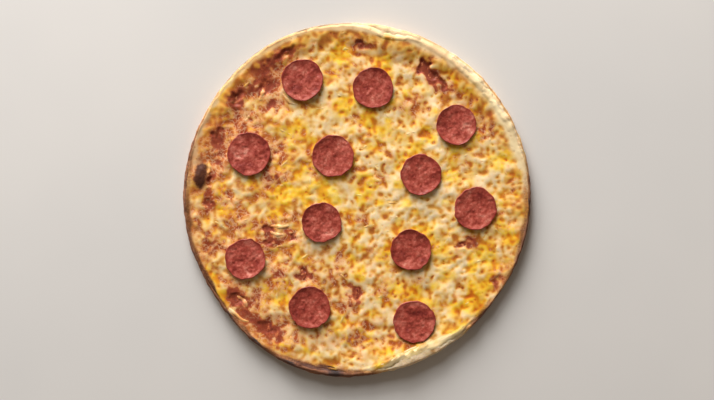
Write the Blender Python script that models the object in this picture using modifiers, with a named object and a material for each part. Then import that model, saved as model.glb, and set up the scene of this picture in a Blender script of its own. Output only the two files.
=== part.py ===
"""Pepperoni pizza, whole and uncut, about 305 mm across.

A thin crust with an uneven raised rim carries a layer of tomato sauce, a
layer of melted cheese with short shreds fused on it, and twelve slices of
pepperoni. Metres, +Z up, origin in the middle of the underside.
Angles are in degrees, anticlockwise from +X as seen from above.
"""
import math
import random

import bmesh
import bpy
from mathutils import Matrix, Vector, noise
from mathutils.bvhtree import BVHTree

# Driving sizes of the crust
PIZZA_RADIUS = 0.1518
RIM_WIDTH = 0.0042
RIM_WIDTH_LEAST = 0.0026
RIM_HEIGHT = 0.0100
FLOOR = 0.0045
STEPS = 84

# The outline, the rim's width and its height swell and shrink round the pizza:
# each swell is a middle angle, a spread in degrees and an amount in metres
OUTLINE_SWELLS = (
    (112, 26, 0.0030),
    (256, 24, 0.0054),
    (208, 16, -0.0016),
    (325, 20, -0.0024),
)
RIM_WIDTH_SWELLS = (
    (45, 28, 0.0046),
    (80, 7, 0.0050),
    (258, 14, 0.0026),
    (290, 14, 0.0080),
    (178, 8, 0.0014),
    (330, 10, -0.0014),
)
RIM_HEIGHT_SWELLS = (
    (44, 30, 0.0032),
    (80, 8, 0.0014),
    (118, 14, 0.0006),
    (258, 12, 0.0012),
    (288, 15, 0.0030),
    (208, 18, -0.0012),
    (330, 10, -0.0012),
)

# A fold that runs along the outer side of the rim, at the upper right
FOLD_ANGLE = 38
FOLD_SPREAD = 30
FOLD_DEPTH = 0.0020

# Small lumps of the dough, on the rim's top and along its outer edge
RIM_LUMP = 0.0006
RIM_LUMP_LENGTH = 0.016
EDGE_LUMP = 0.0005
EDGE_LUMP_LENGTH = 0.012

# Layers and the clear space between them
GAP = 0.0003
SAUCE_THICKNESS = 0.0010
CHEESE_THICKNESS = 0.0022
CHEESE_LEAST = 0.0007
CHEESE_LUMP = 0.0009
CHEESE_LUMP_LENGTH = 0.015
CALM_RADIUS = 0.040
CHEESE_INSET = 0.0016
CHEESE_LIP = 0.0012
CHEESE_LIP_THICKNESS = 0.0014
CHEESE_EDGE_WAVE = 0.0009

# Places where the cheese leaves the sauce bare:
# x, y, length, width, turn in degrees
BARE_PATCHES = (
    (-0.104, 0.088, 0.013, 0.009, 60),
    (-0.078, 0.098, 0.015, 0.009, 20),
    (-0.061, 0.126, 0.015, 0.007, 35),
    (-0.120, 0.055, 0.010, 0.008, 70),
    (-0.127, 0.015, 0.009, 0.007, 80),
    (-0.131, -0.004, 0.013, 0.008, 100),
    (0.060, 0.113, 0.014, 0.009, 140),
    (0.004, 0.133, 0.012, 0.006, 0),
    (-0.078, -0.026, 0.010, 0.008, 150),
    (-0.057, -0.033, 0.012, 0.006, 170),
    (-0.104, -0.087, 0.015, 0.010, 130),
    (-0.079, -0.113, 0.018, 0.007, 145),
    (-0.002, -0.084, 0.014, 0.009, 100),
    (0.096, -0.040, 0.012, 0.008, 40),
    (0.122, -0.071, 0.011, 0.008, 60),
    (-0.047, -0.066, 0.011, 0.006, 20),
)

# One burnt blister in the cheese, at the left edge: x, y, radius, height
BLISTER = (-0.1370, 0.0165, 0.0075, 0.0016)

# Pepperoni slices: x, y, radius
PEPPERONI = (
    (-0.0476, 0.1030, 0.0182),
    (0.0140, 0.0964, 0.0179),
    (0.0863, 0.0641, 0.0174),
    (-0.0939, 0.0387, 0.0189),
    (-0.0209, 0.0370, 0.0183),
    (0.0557, 0.0209, 0.0178),
    (0.1030, -0.0087, 0.0185),
    (-0.0305, -0.0207, 0.0174),
    (-0.0972, -0.0526, 0.0177),
    (0.0468, -0.0448, 0.0177),
    (-0.0412, -0.0948, 0.0181),
    (0.0499, -0.1071, 0.0183),
)
PEPPERONI_THICKNESS = 0.0017
PEPPERONI_CURL = 0.0009
PEPPERONI_STEPS = 20
PEPPERONI_WAVE = 0.0004
BED_HEIGHT = FLOOR + 2 * GAP + SAUCE_THICKNESS + 0.0017
BED_MARGIN = 0.0050

# Shreds of cheese that keep their shape
SHRED_COUNT = 38
SHRED_LENGTHS = (0.009, 0.017)
SHRED_WIDTH = 0.0026
SHRED_HEIGHT = 0.0015
SHRED_BEND = 50
SHRED_SINK = 0.35
SHRED_CLEARANCE = 0.0012
SHRED_SPACING = 0.0200
SHRED_SEED = 11

# The plain profile of the crust, before the swells
TOPPING_RADIUS = PIZZA_RADIUS - 0.0062
FLOOR_RADIUS = TOPPING_RADIUS - 0.0085
SLOPE_RADIUS = TOPPING_RADIUS - 0.0035
UNDERSIDE = 0.0040
FOLD_RADIUS = TOPPING_RADIUS + 0.0048
TOP_LINE = (
    (0.0, FLOOR),
    (FLOOR_RADIUS, FLOOR),
    (SLOPE_RADIUS, 0.0052),
    (TOPPING_RADIUS, 0.0072),
    (TOPPING_RADIUS + 0.0018, 0.0093),
    (TOPPING_RADIUS + 0.0034, RIM_HEIGHT),
    (FOLD_RADIUS, 0.0092),
    (TOPPING_RADIUS + 0.0056, 0.0080),
    (PIZZA_RADIUS, 0.0060),
)
UNDER_LINE = (
    (PIZZA_RADIUS - 0.0010, 0.0028),
    (PIZZA_RADIUS - 0.0034, 0.0007),
    (PIZZA_RADIUS - 0.0062, 0.0),
    (0.0, 0.0),
)

# Rings of points on the cheese, closer together towards the rim
CHEESE_RING_COUNT = 15
CHEESE_RING_REACH = FLOOR_RADIUS - 0.0053
CHEESE_RING_POWER = 0.8
CHEESE_RINGS = tuple(
    CHEESE_RING_REACH * (ring / CHEESE_RING_COUNT) ** CHEESE_RING_POWER
    for ring in range(CHEESE_RING_COUNT + 1)
)

# Names of the collections
PARTS = "pepperoni_pizza"
CUTTERS = "cutters"


def swell(angle, swells):
    """Sum of the swells at an angle in degrees."""
    total = 0.0
    for middle, spread, amount in swells:
        away = (angle - middle + 180) % 360 - 180
        total += amount * math.exp(-(away / spread) ** 2)
    return total


def outline_radius(angle):
    return PIZZA_RADIUS + swell(angle, OUTLINE_SWELLS)


def rim_width(angle):
    return max(RIM_WIDTH_LEAST, RIM_WIDTH + swell(angle, RIM_WIDTH_SWELLS))


def topping_radius(angle):
    return outline_radius(angle) - rim_width(angle)


def stretched(radius, angle):
    """Move a radius of the plain profile out or in to the uneven outline."""
    if radius <= TOPPING_RADIUS:
        return radius * topping_radius(angle) / TOPPING_RADIUS
    share = (radius - TOPPING_RADIUS) / (PIZZA_RADIUS - TOPPING_RADIUS)
    return topping_radius(angle) + share * rim_width(angle)


def lifted(height, angle):
    """Raise or lower a height of the plain profile with the rim's height."""
    share = (height - FLOOR) / (RIM_HEIGHT - FLOOR)
    share = min(1.0, max(0.0, share))
    return height + share * swell(angle, RIM_HEIGHT_SWELLS)


def top_height(radius):
    """Height of the crust's plain top line at a radius."""
    for inner, outer in zip(TOP_LINE, TOP_LINE[1:]):
        if radius <= outer[0]:
            share = (radius - inner[0]) / (outer[0] - inner[0])
            return inner[1] + share * (outer[1] - inner[1])
    return TOP_LINE[-1][1]


def unevenness(x, y, length, layer):
    """Smooth noise between about -1 and 1 with bumps of the given length."""
    place = Vector((x / length, y / length, layer))
    return 1.6 * noise.noise(place)


def material(name, colour, roughness):
    """Plain material with one colour and roughness."""
    made = bpy.data.materials.new(name)
    made.use_nodes = True
    shader = made.node_tree.nodes["Principled BSDF"]
    shader.inputs["Base Color"].default_value = (*colour, 1.0)
    shader.inputs["Roughness"].default_value = roughness
    shader.inputs["Metallic"].default_value = 0.0
    return made


def evaluated_mesh(piece):
    """Mesh of an object with its modifiers applied."""
    graph = bpy.context.evaluated_depsgraph_get()
    return bpy.data.meshes.new_from_object(piece.evaluated_get(graph))


def new_piece(name, mesh, collection):
    piece = bpy.data.objects.new(name, mesh)
    collection.objects.link(piece)
    return piece


def turned(name, line, steps, collection):
    """Turn a line of (radius, height) points round Z into a closed solid."""
    mesh = bpy.data.meshes.new(name + "_line")
    points = [(radius, 0.0, height) for radius, height in line]
    edges = [(index, index + 1) for index in range(len(points) - 1)]
    mesh.from_pydata(points, edges, [])
    profile = new_piece(name + "_line", mesh, collection)
    screw = profile.modifiers.new("turn", "SCREW")
    screw.axis = "Z"
    screw.steps = steps
    screw.render_steps = steps
    screw.use_merge_vertices = True
    screw.merge_threshold = 0.0001
    solid = evaluated_mesh(profile)
    bpy.data.objects.remove(profile)
    shape = bmesh.new()
    shape.from_mesh(solid)
    bmesh.ops.triangulate(shape, faces=shape.faces[:], quad_method="FIXED")
    shape.to_mesh(solid)
    shape.free()
    return new_piece(name, solid, collection)


def reshape(piece, place):
    """Move every point of a turned solid by its radius, angle and height."""
    for vertex in piece.data.vertices:
        radius = math.hypot(vertex.co.x, vertex.co.y)
        angle = math.degrees(math.atan2(vertex.co.y, vertex.co.x)) % 360
        radius, height = place(radius, angle, vertex.co.z)
        turn = math.radians(angle)
        vertex.co = (radius * math.cos(turn), radius * math.sin(turn), height)
    piece.data.update()


def shade_round(piece, sharp_angle):
    piece.data.shade_smooth()
    piece.data.set_sharp_from_angle(angle=math.radians(sharp_angle))


def add_crust(collection):
    """Base and rim in one piece, with a flat underside."""
    crust = turned("crust", TOP_LINE + UNDER_LINE, STEPS, collection)

    def place(radius, angle, height):
        if height < UNDERSIDE:
            return radius * outline_radius(angle) / PIZZA_RADIUS, height
        out = stretched(radius, angle)
        up = lifted(height, angle)
        if radius > TOPPING_RADIUS + GAP:
            turn = math.radians(angle)
            x = out * math.cos(turn)
            y = out * math.sin(turn)
            up += RIM_LUMP * unevenness(x, y, RIM_LUMP_LENGTH, 3.0)
            fold = swell(angle, ((FOLD_ANGLE, FOLD_SPREAD, FOLD_DEPTH),))
            if abs(radius - FOLD_RADIUS) < GAP:
                up -= fold
            if radius > PIZZA_RADIUS - GAP:
                out += EDGE_LUMP * unevenness(x, y, EDGE_LUMP_LENGTH, 7.0)
        return out, up

    reshape(crust, place)
    shade_round(crust, 60)
    crust.data.materials.append(material("baked_dough", (0.62, 0.38, 0.17), 0.75))
    return crust


def add_sauce(collection):
    """Thin layer of sauce that follows the crust up to the rim."""
    bottom = GAP
    top = GAP + SAUCE_THICKNESS
    radii = (0.0, FLOOR_RADIUS, SLOPE_RADIUS, TOPPING_RADIUS)
    line = [(radius, top_height(radius) + top) for radius in radii]
    line += [(radius, top_height(radius) + bottom) for radius in reversed(radii)]
    sauce = turned("sauce", line, STEPS, collection)

    def place(radius, angle, height):
        above = height - top_height(radius)
        return stretched(radius, angle), lifted(top_height(radius), angle) + above

    reshape(sauce, place)
    shade_round(sauce, 40)
    sauce.data.materials.append(material("tomato_sauce", (0.36, 0.045, 0.018), 0.4))
    return sauce


def cheese_top(x, y, bottom, plain_top):
    """Height of the cheese's uneven top over one point."""
    lump = CHEESE_LUMP * (0.3 + 0.7 * min(1.0, math.hypot(x, y) / CALM_RADIUS))
    up = plain_top
    up += lump * unevenness(x, y, CHEESE_LUMP_LENGTH, 0.0)
    up += 0.4 * lump * unevenness(x, y, 0.5 * CHEESE_LUMP_LENGTH, 5.0)
    blister_x, blister_y, blister_radius, blister_height = BLISTER
    away = math.hypot(x - blister_x, y - blister_y) / blister_radius
    up += blister_height * math.exp(-away ** 2)
    for centre_x, centre_y, radius in PEPPERONI:
        away = math.hypot(x - centre_x, y - centre_y)
        if away < radius + BED_MARGIN:
            up = BED_HEIGHT
    return max(up, bottom + CHEESE_LEAST)


def add_cheese(collection):
    """Layer of melted cheese with a bed pressed under each slice."""
    bottom = GAP + SAUCE_THICKNESS + GAP
    top = bottom + CHEESE_THICKNESS
    edge = TOPPING_RADIUS - CHEESE_INSET
    lip = edge - CHEESE_LIP
    line = [(radius, top_height(radius) + top) for radius in CHEESE_RINGS]
    line.append((FLOOR_RADIUS, top_height(FLOOR_RADIUS) + top))
    line.append((lip, top_height(lip) + bottom + CHEESE_LIP_THICKNESS))
    line.append((edge, top_height(edge) + bottom))
    line.append((SLOPE_RADIUS, top_height(SLOPE_RADIUS) + bottom))
    line.append((FLOOR_RADIUS, top_height(FLOOR_RADIUS) + bottom))
    line.append((0.0, FLOOR + bottom))
    cheese = turned("cheese", line, STEPS, collection)

    def place(radius, angle, height):
        above = height - top_height(radius)
        if radius > SLOPE_RADIUS + GAP:
            turn = math.radians(angle)
            wave = unevenness(math.cos(turn), math.sin(turn), 0.12, 9.0)
            radius += CHEESE_EDGE_WAVE * wave
        out = stretched(radius, angle)
        up = lifted(top_height(radius), angle)
        if above > bottom + GAP:
            turn = math.radians(angle)
            x = out * math.cos(turn)
            y = out * math.sin(turn)
            return out, cheese_top(x, y, up + bottom, up + above)
        return out, up + above

    reshape(cheese, place)
    return cheese


def patch_cutter(index, patch, collection):
    """Upright post with an uneven outline that cuts through the cheese."""
    x, y, length, width, turn = patch
    shape = bmesh.new()
    bmesh.ops.create_cone(
        shape, cap_ends=True, segments=9, radius1=0.5, radius2=0.58, depth=0.04
    )
    for vertex in shape.verts:
        wave = 1.0 + 0.28 * unevenness(vertex.co.x, vertex.co.y, 0.35, 20.0 + index)
        vertex.co.x *= wave * length
        vertex.co.y *= wave * width
    mesh = bpy.data.meshes.new("patch_%02d" % index)
    shape.to_mesh(mesh)
    shape.free()
    cutter = new_piece(mesh.name, mesh, collection)
    cutter.location = (x, y, 0.008)
    cutter.rotation_euler = (0.0, 0.0, math.radians(turn))
    cutter.hide_render = True
    cutter.display_type = "WIRE"
    return cutter


def clear_of_slices(x, y, space):
    return all(
        math.hypot(x - centre_x, y - centre_y) > radius + space
        for centre_x, centre_y, radius in PEPPERONI
    )


def clear_of_patches(x, y, space):
    return all(
        math.hypot(x - patch[0], y - patch[1]) > 0.5 * patch[2] + space
        for patch in BARE_PATCHES
    )


def inside_edge(x, y, space):
    angle = math.degrees(math.atan2(y, x)) % 360
    return math.hypot(x, y) < stretched(SLOPE_RADIUS, angle) - space


def shred_places():
    """Places, turns, lengths and bends of the shreds, spread evenly."""
    draw = random.Random(SHRED_SEED)
    places = []
    while len(places) < SHRED_COUNT:
        away = PIZZA_RADIUS * math.sqrt(draw.random())
        around = draw.uniform(0.0, 2.0 * math.pi)
        x = away * math.cos(around)
        y = away * math.sin(around)
        turn = draw.uniform(0.0, math.pi)
        length = draw.uniform(*SHRED_LENGTHS)
        bend = math.radians(draw.uniform(-SHRED_BEND, SHRED_BEND))
        reach = 0.5 * length + SHRED_CLEARANCE + 0.5 * SHRED_WIDTH
        apart = all(math.hypot(x - other[0], y - other[1]) > SHRED_SPACING for other in places)
        open_place = clear_of_slices(x, y, reach) and clear_of_patches(x, y, 0.4 * reach)
        if apart and open_place and inside_edge(x, y, reach):
            places.append((x, y, turn, length, bend))
    return places


def shred(index, place, ground, collection):
    """Bent strip with rounded ends that lies on the cheese."""
    x, y, turn, length, bend = place
    shape = bmesh.new()
    bmesh.ops.create_uvsphere(shape, u_segments=6, v_segments=5, radius=1.0)
    bmesh.ops.rotate(shape, verts=shape.verts, matrix=Matrix.Rotation(math.radians(90), 3, "Y"))
    arc_radius = length / bend if abs(bend) > 0.05 else None
    for vertex in shape.verts:
        along = vertex.co.x
        full = (1.0 - 0.5 * along ** 4) / math.sqrt(max(0.2, 1.0 - along ** 2))
        side = 0.5 * SHRED_WIDTH * vertex.co.y * min(full, 1.5)
        up = 0.5 * SHRED_HEIGHT * vertex.co.z * min(full, 1.5)
        run = 0.5 * length * along
        if arc_radius:
            swing = run / arc_radius
            flat_x = (arc_radius - side) * math.sin(swing)
            flat_y = arc_radius - (arc_radius - side) * math.cos(swing)
        else:
            flat_x = run
            flat_y = side
        world_x = x + flat_x * math.cos(turn) - flat_y * math.sin(turn)
        world_y = y + flat_x * math.sin(turn) + flat_y * math.cos(turn)
        hit = ground.ray_cast(Vector((world_x, world_y, 0.1)), Vector((0.0, 0.0, -1.0)))[0]
        lie = hit.z + (0.5 - SHRED_SINK) * SHRED_HEIGHT
        vertex.co = (world_x, world_y, lie + up)
    mesh = bpy.data.meshes.new("shred_%02d" % index)
    shape.to_mesh(mesh)
    shape.free()
    return new_piece(mesh.name, mesh, collection)


def apply_boolean(piece, operation, group, solver):
    """Cut or join a piece with all objects of a collection, then apply."""
    modifier = piece.modifiers.new(operation.lower(), "BOOLEAN")
    modifier.operation = operation
    modifier.operand_type = "COLLECTION"
    modifier.collection = group
    modifier.solver = solver
    mesh = evaluated_mesh(piece)
    piece.modifiers.clear()
    piece.data = mesh
    for other in list(group.objects):
        bpy.data.objects.remove(other)


def finish_cheese(cheese, cutters):
    """Cut the bare patches and fuse the shreds."""
    shape = bmesh.new()
    shape.from_mesh(cheese.data)
    ground = BVHTree.FromBMesh(shape)
    shape.free()
    for index, patch in enumerate(BARE_PATCHES):
        patch_cutter(index, patch, cutters)
    apply_boolean(cheese, "DIFFERENCE", cutters, "EXACT")
    for index, place in enumerate(shred_places()):
        shred(index, place, ground, cutters)
    apply_boolean(cheese, "UNION", cutters, "MANIFOLD")
    shade_round(cheese, 50)
    cheese.data.materials.clear()
    cheese.data.materials.append(material("melted_cheese", (0.83, 0.56, 0.19), 0.45))


def add_pepperoni(index, slice_size, collection):
    """Thin round slice, slightly cupped, with an uneven outline."""
    x, y, size = slice_size
    thick = PEPPERONI_THICKNESS
    curl = PEPPERONI_CURL
    line = (
        (0.0, thick),
        (0.62 * size, thick + 0.15 * curl),
        (0.93 * size, thick + 0.80 * curl),
        (size, 0.5 * thick + 0.85 * curl),
        (0.90 * size, 0.62 * curl),
        (0.55 * size, 0.0),
        (0.0, 0.0),
    )
    name = "pepperoni_%02d" % (index + 1)
    piece = turned(name, line, PEPPERONI_STEPS, collection)

    def place(radius, angle, height):
        turn = math.radians(angle)
        outer = radius / size
        wave = unevenness(math.cos(turn), math.sin(turn), 0.9, 30.0 + index)
        lean = unevenness(math.cos(turn), math.sin(turn), 1.4, 50.0 + index)
        out = radius + PEPPERONI_WAVE * wave * outer
        return out, height + 0.4 * curl * (1.0 + lean) * outer ** 6

    reshape(piece, place)
    lift = BED_HEIGHT + GAP
    piece.data.transform(Matrix.Translation((x, y, lift)))
    shade_round(piece, 60)
    piece.data.materials.append(material(name, (0.33, 0.055, 0.04), 0.42))
    return piece


def centre_on_origin(collection, crust):
    """Move all pieces so that the crust's outline is centred on the origin."""
    xs = [vertex.co.x for vertex in crust.data.vertices]
    ys = [vertex.co.y for vertex in crust.data.vertices]
    middle = Vector((0.5 * (min(xs) + max(xs)), 0.5 * (min(ys) + max(ys)), 0.0))
    for piece in collection.objects:
        piece.data.transform(Matrix.Translation(-middle))


def main():
    for old in list(bpy.data.objects):
        bpy.data.objects.remove(old)
    parts = bpy.data.collections.new(PARTS)
    cutters = bpy.data.collections.new(CUTTERS)
    bpy.context.scene.collection.children.link(parts)
    bpy.context.scene.collection.children.link(cutters)
    crust = add_crust(parts)
    add_sauce(parts)
    cheese = add_cheese(parts)
    finish_cheese(cheese, cutters)
    for index, slice_size in enumerate(PEPPERONI):
        add_pepperoni(index, slice_size, parts)
    centre_on_origin(parts, crust)


main()
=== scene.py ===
"""Looks of a whole pepperoni pizza, seen from straight above.

Metres, +Z up, origin in the middle of the underside. Angles are in degrees,
anticlockwise from +X as seen from above.
"""
import itertools
import math
import random

import bpy
import numpy as np
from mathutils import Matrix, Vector, noise


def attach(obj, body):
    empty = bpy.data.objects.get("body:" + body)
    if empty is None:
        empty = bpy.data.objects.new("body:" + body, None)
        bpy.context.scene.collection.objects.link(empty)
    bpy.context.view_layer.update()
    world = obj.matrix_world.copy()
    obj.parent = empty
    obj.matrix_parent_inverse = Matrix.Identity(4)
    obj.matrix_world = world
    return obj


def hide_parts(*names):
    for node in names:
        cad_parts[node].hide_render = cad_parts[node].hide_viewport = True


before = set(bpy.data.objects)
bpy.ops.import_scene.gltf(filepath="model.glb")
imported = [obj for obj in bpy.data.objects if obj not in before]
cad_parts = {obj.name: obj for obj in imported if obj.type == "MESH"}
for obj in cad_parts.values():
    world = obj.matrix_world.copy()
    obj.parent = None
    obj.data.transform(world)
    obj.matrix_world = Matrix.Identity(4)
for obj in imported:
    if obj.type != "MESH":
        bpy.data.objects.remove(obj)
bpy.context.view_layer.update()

# Sizes of the crust, as in the model's source
PIZZA_RADIUS = 0.1518
RIM_WIDTH = 0.0042
RIM_WIDTH_LEAST = 0.0026
RIM_HEIGHT = 0.0100
FLOOR = 0.0045
OUTLINE_SWELLS = (
    (112, 26, 0.0030),
    (256, 24, 0.0054),
    (208, 16, -0.0016),
    (325, 20, -0.0024),
)
RIM_WIDTH_SWELLS = (
    (45, 28, 0.0046),
    (80, 7, 0.0050),
    (258, 14, 0.0026),
    (290, 14, 0.0080),
    (178, 8, 0.0014),
    (330, 10, -0.0014),
)
RIM_HEIGHT_SWELLS = (
    (44, 30, 0.0032),
    (80, 8, 0.0014),
    (118, 14, 0.0006),
    (258, 12, 0.0012),
    (288, 15, 0.0030),
    (208, 18, -0.0012),
    (330, 10, -0.0012),
)
FOLD_ANGLE = 38
FOLD_SPREAD = 30
FOLD_DEPTH = 0.0020

# Sizes of the layers, as in the model's source
GAP = 0.0003
SAUCE_THICKNESS = 0.0010
CHEESE_THICKNESS = 0.0022
CHEESE_LUMP = 0.0009
CHEESE_LUMP_LENGTH = 0.015
CALM_RADIUS = 0.040
CHEESE_EDGE_WAVE = 0.0009
BED_HEIGHT = FLOOR + 2 * GAP + SAUCE_THICKNESS + 0.0017
SAUCE_TOP = GAP + SAUCE_THICKNESS
CHEESE_BOTTOM = SAUCE_TOP + GAP
CHEESE_TOP = CHEESE_BOTTOM + CHEESE_THICKNESS

# The plain profile of the crust before the swells, as in the model's source
TOPPING_RADIUS = PIZZA_RADIUS - 0.0062
FLOOR_RADIUS = TOPPING_RADIUS - 0.0085
SLOPE_RADIUS = TOPPING_RADIUS - 0.0035
FOLD_RADIUS = TOPPING_RADIUS + 0.0048
TOP_LINE = (
    (0.0, FLOOR),
    (FLOOR_RADIUS, FLOOR),
    (SLOPE_RADIUS, 0.0052),
    (TOPPING_RADIUS, 0.0072),
    (TOPPING_RADIUS + 0.0018, 0.0093),
    (TOPPING_RADIUS + 0.0034, RIM_HEIGHT),
    (FOLD_RADIUS, 0.0092),
    (TOPPING_RADIUS + 0.0056, 0.0080),
    (PIZZA_RADIUS, 0.0060),
)
UNDER_LINE = (
    (PIZZA_RADIUS - 0.0010, 0.0028),
    (PIZZA_RADIUS - 0.0034, 0.0007),
    (PIZZA_RADIUS - 0.0062, 0.0),
)


def in_metres(rows):
    """Rows of places in metres, from rows whose first four values are millimetres."""
    return [tuple(value / 1000 for value in row[:4]) + row[4:] for row in rows]


# Places on the toppings in millimetres: x, y, length, width, turn in degrees, strength
BARE_PATCHES = in_metres((
    (-104, 88, 13, 9, 60, 1.0),
    (-78, 98, 15, 9, 20, 1.0),
    (-61, 126, 17, 7, 35, 0.75),
    (-120, 55, 13, 7, 70, 0.85),
    (-127, 15, 11, 6, 80, 0.85),
    (-131, -4, 13, 8, 100, 1.0),
    (60, 113, 14, 9, 140, 1.0),
    (4, 133, 14, 6, 0, 0.75),
    (-78, -26, 10, 8, 150, 1.0),
    (-57, -33, 12, 6, 170, 1.0),
    (-104, -87, 15, 10, 130, 1.0),
    (-79, -113, 18, 7, 145, 1.0),
    (-2, -84, 14, 9, 100, 1.0),
    (96, -40, 12, 8, 40, 1.0),
    (122, -70, 15, 9, 60, 0.7),
    (-47, -66, 11, 6, 20, 1.0),
    (66, 107, 18, 8, 135, 0.8),
    (76, 98, 10, 7, 140, 0.7),
    (-74, 79, 10, 6, 30, 0.7),
    (-77, -38, 14, 5, 170, 0.8),
    (-79, 114, 14, 9, 60, 0.5),
    (-93, 97, 12, 7, 20, 0.4),
))
THIN_PATCHES = in_metres((
    (-71, 82, 16, 12, 30, 0.8),
    (-90, 75, 18, 10, 60, 0.6),
    (-117, 30, 30, 12, 85, 0.6),
    (-71, 17, 20, 8, 10, 0.8),
    (0, 70, 9, 7, 0, 0.7),
    (72, 98, 16, 9, 150, 0.8),
    (136, 10, 10, 8, 90, 0.8),
    (50, 80, 26, 13, 0, 0.8),
    (90, 94, 34, 12, 140, 0.8),
    (-82, 108, 36, 26, 50, 0.55),
    (10, -108, 14, 9, 20, 0.9),
    (-1, -125, 14, 7, 10, 0.9),
    (20, 43, 12, 9, 20, 0.6),
    (19, 14, 12, 8, 20, 0.6),
    (112, 64, 22, 14, 80, 0.9),
    (-77, -39, 22, 8, 170, 0.8),
    (-128, -40, 30, 12, 100, 0.6),
    (-119, -68, 24, 7, 125, 0.9),
    (-86, -83, 18, 12, 20, 0.4),
    (-100, -100, 18, 10, 140, 0.8),
    (-69, -63, 10, 9, 0, 0.7),
    (-14, -52, 9, 14, 0, 0.7),
    (-9, -95, 12, 10, 30, 0.8),
    (-52, -126, 14, 7, 160, 0.6),
    (3, -19, 10, 8, 20, 0.7),
    (87, -51, 12, 9, 60, 0.7),
    (20, -82, 12, 10, 0, 1.0),
    (90, -71, 12, 6, 10, 0.5),
    (54, -71, 16, 6, 5, 0.5),
    (131, -55, 16, 8, 60, 0.6),
    (-20, -120, 30, 14, 10, 0.4),
    (-98, 78, 36, 26, 60, 0.5),
    (33, -125, 24, 13, 0, 0.6),
    (-124, -1, 30, 22, 90, 0.4),
))
YELLOW_PATCHES = in_metres((
    (-36, 4, 60, 19, 0, 1.3),
    (12, 71, 24, 12, 0, 0.9),
    (108, -80, 26, 20, 45, 1.3),
    (96, -93, 22, 14, 40, 1.0),
    (131, -37, 14, 10, 60, 1.0),
    (-121, -76, 36, 11, 120, 1.4),
    (-10, 86, 20, 16, 60, 0.6),
    (-132, -20, 50, 10, 95, 0.5),
    (-122, 90, 40, 10, 52, 0.9),
    (-60, 138, 50, 9, 24, 0.6),
    (0, -35, 26, 20, 30, 0.6),
    (-20, 125, 40, 12, 0, 0.6),
    (90, 100, 50, 10, 140, 0.8),
    (-40, -135, 60, 8, 165, 0.7),
    (60, 45, 18, 12, 0, 0.4),
))
CREAM_PATCHES = in_metres((
    (50, -5, 90, 60, 10, 0.6),
    (20, 60, 60, 40, 20, 0.4),
    (85, -60, 70, 50, 20, 0.62),
    (70, 75, 50, 34, 130, 0.5),
    (-30, 85, 40, 50, 0, 0.5),
    (-45, 60, 70, 30, 10, 0.4),
    (20, -100, 60, 40, 0, 0.3),
    (118, 20, 30, 50, 0, 0.6),
    (66, 34, 40, 30, 0, 0.4),
))
# Places lighter or darker than their surroundings, where the strength counts steps of light
LIGHT_STEP = 0.05
LIGHT_PATCHES = in_metres((
    (-36, 4, 64, 22, 0, 4.0),
    (108, -80, 28, 22, 45, -4.0),
    (96, -93, 22, 14, 40, -3.0),
    (12, 71, 24, 12, 0, -1.0),
    (-93, 78, 44, 52, 30, -1.6),
    (-93, -68, 40, 34, 0, 4.2),
    (-30, -40, 38, 28, 0, 4.0),
    (33, -125, 34, 24, 0, -2.2),
    (0, 126, 44, 18, 0, -1.8),
    (-30, -127, 36, 24, 0, 3.4),
    (64, 33, 34, 30, 0, 2.2),
    (64, -2, 36, 28, 0, 2.4),
    (126, -60, 24, 30, 60, 1.6),
    (-124, -1, 36, 28, 90, -2.0),
    (-124, -66, 36, 22, 120, -1.8),
))
DOUGH_PATCHES = in_metres((
    (-139, 33, 13, 9, 80, 1.0),
))
BLISTER = (-0.1362, 0.0185, 0.0085, 0.0018)

# Places of the pepperoni before centring: x, y, radius
PEPPERONI = (
    (-0.0476, 0.1030, 0.0182),
    (0.0140, 0.0964, 0.0179),
    (0.0863, 0.0641, 0.0174),
    (-0.0939, 0.0387, 0.0189),
    (-0.0209, 0.0370, 0.0183),
    (0.0557, 0.0209, 0.0178),
    (0.1030, -0.0087, 0.0185),
    (-0.0305, -0.0207, 0.0174),
    (-0.0972, -0.0526, 0.0177),
    (0.0468, -0.0448, 0.0177),
    (-0.0412, -0.0948, 0.0181),
    (0.0499, -0.1071, 0.0183),
)
PEPPERONI_THICKNESS = 0.0017
PEPPERONI_CURL = 0.0017
SLICE_BOTTOM = BED_HEIGHT + GAP

# Shreds that keep their shape, as in the model's source
SHRED_COUNT = 38
SHRED_LENGTHS = (0.009, 0.017)
SHRED_WIDTH = 0.0026
SHRED_BEND = 50
SHRED_CLEARANCE = 0.0012
SHRED_SPACING = 0.0200
SHRED_SEED = 11

# Fine raster on which the shreds of cheese are laid
PITCH = 0.0005
HALF_WIDTH = 0.1580
FIELD_SIDE = int(2 * HALF_WIDTH / PITCH) + 1

# Broad forms and colours of the rim as swells: middle, spread, amount
BROAD_SWELLS = (
    (45, 34, 1.0),
    (80, 10, 0.7),
    (284, 12, 1.0),
    (306, 8, 0.7),
)
BROAD_LIFT = 0.0024
BROAD_DROP = 0.0008
CREST_RADIUS = TOPPING_RADIUS + 0.0034
BLUNT_MOST = 0.74
BLUNT_SWELLS = (
    (118, 44, 0.81),
    (293, 19, 1.0),
    (45, 34, 0.4),
)
RISE_SWELLS = (
    (122, 40, 0.0020),
    (45, 36, 0.0032),
    (82, 12, 0.0008),
    (284, 14, 0.0024),
    (306, 8, 0.0012),
)
BROWN_WIDTHS = (
    (167, 9, 0.0010),
    (182, 11, 0.0030),
    (212, 18, 0.0012),
    (240, 12, 0.0006),
    (258, 11, 0.0058),
    (272, 8, 0.0018),
    (290, 12, -0.0026),
    (318, 10, 0.0014),
    (350, 14, 0.0020),
    (2, 9, 0.0026),
)
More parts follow.
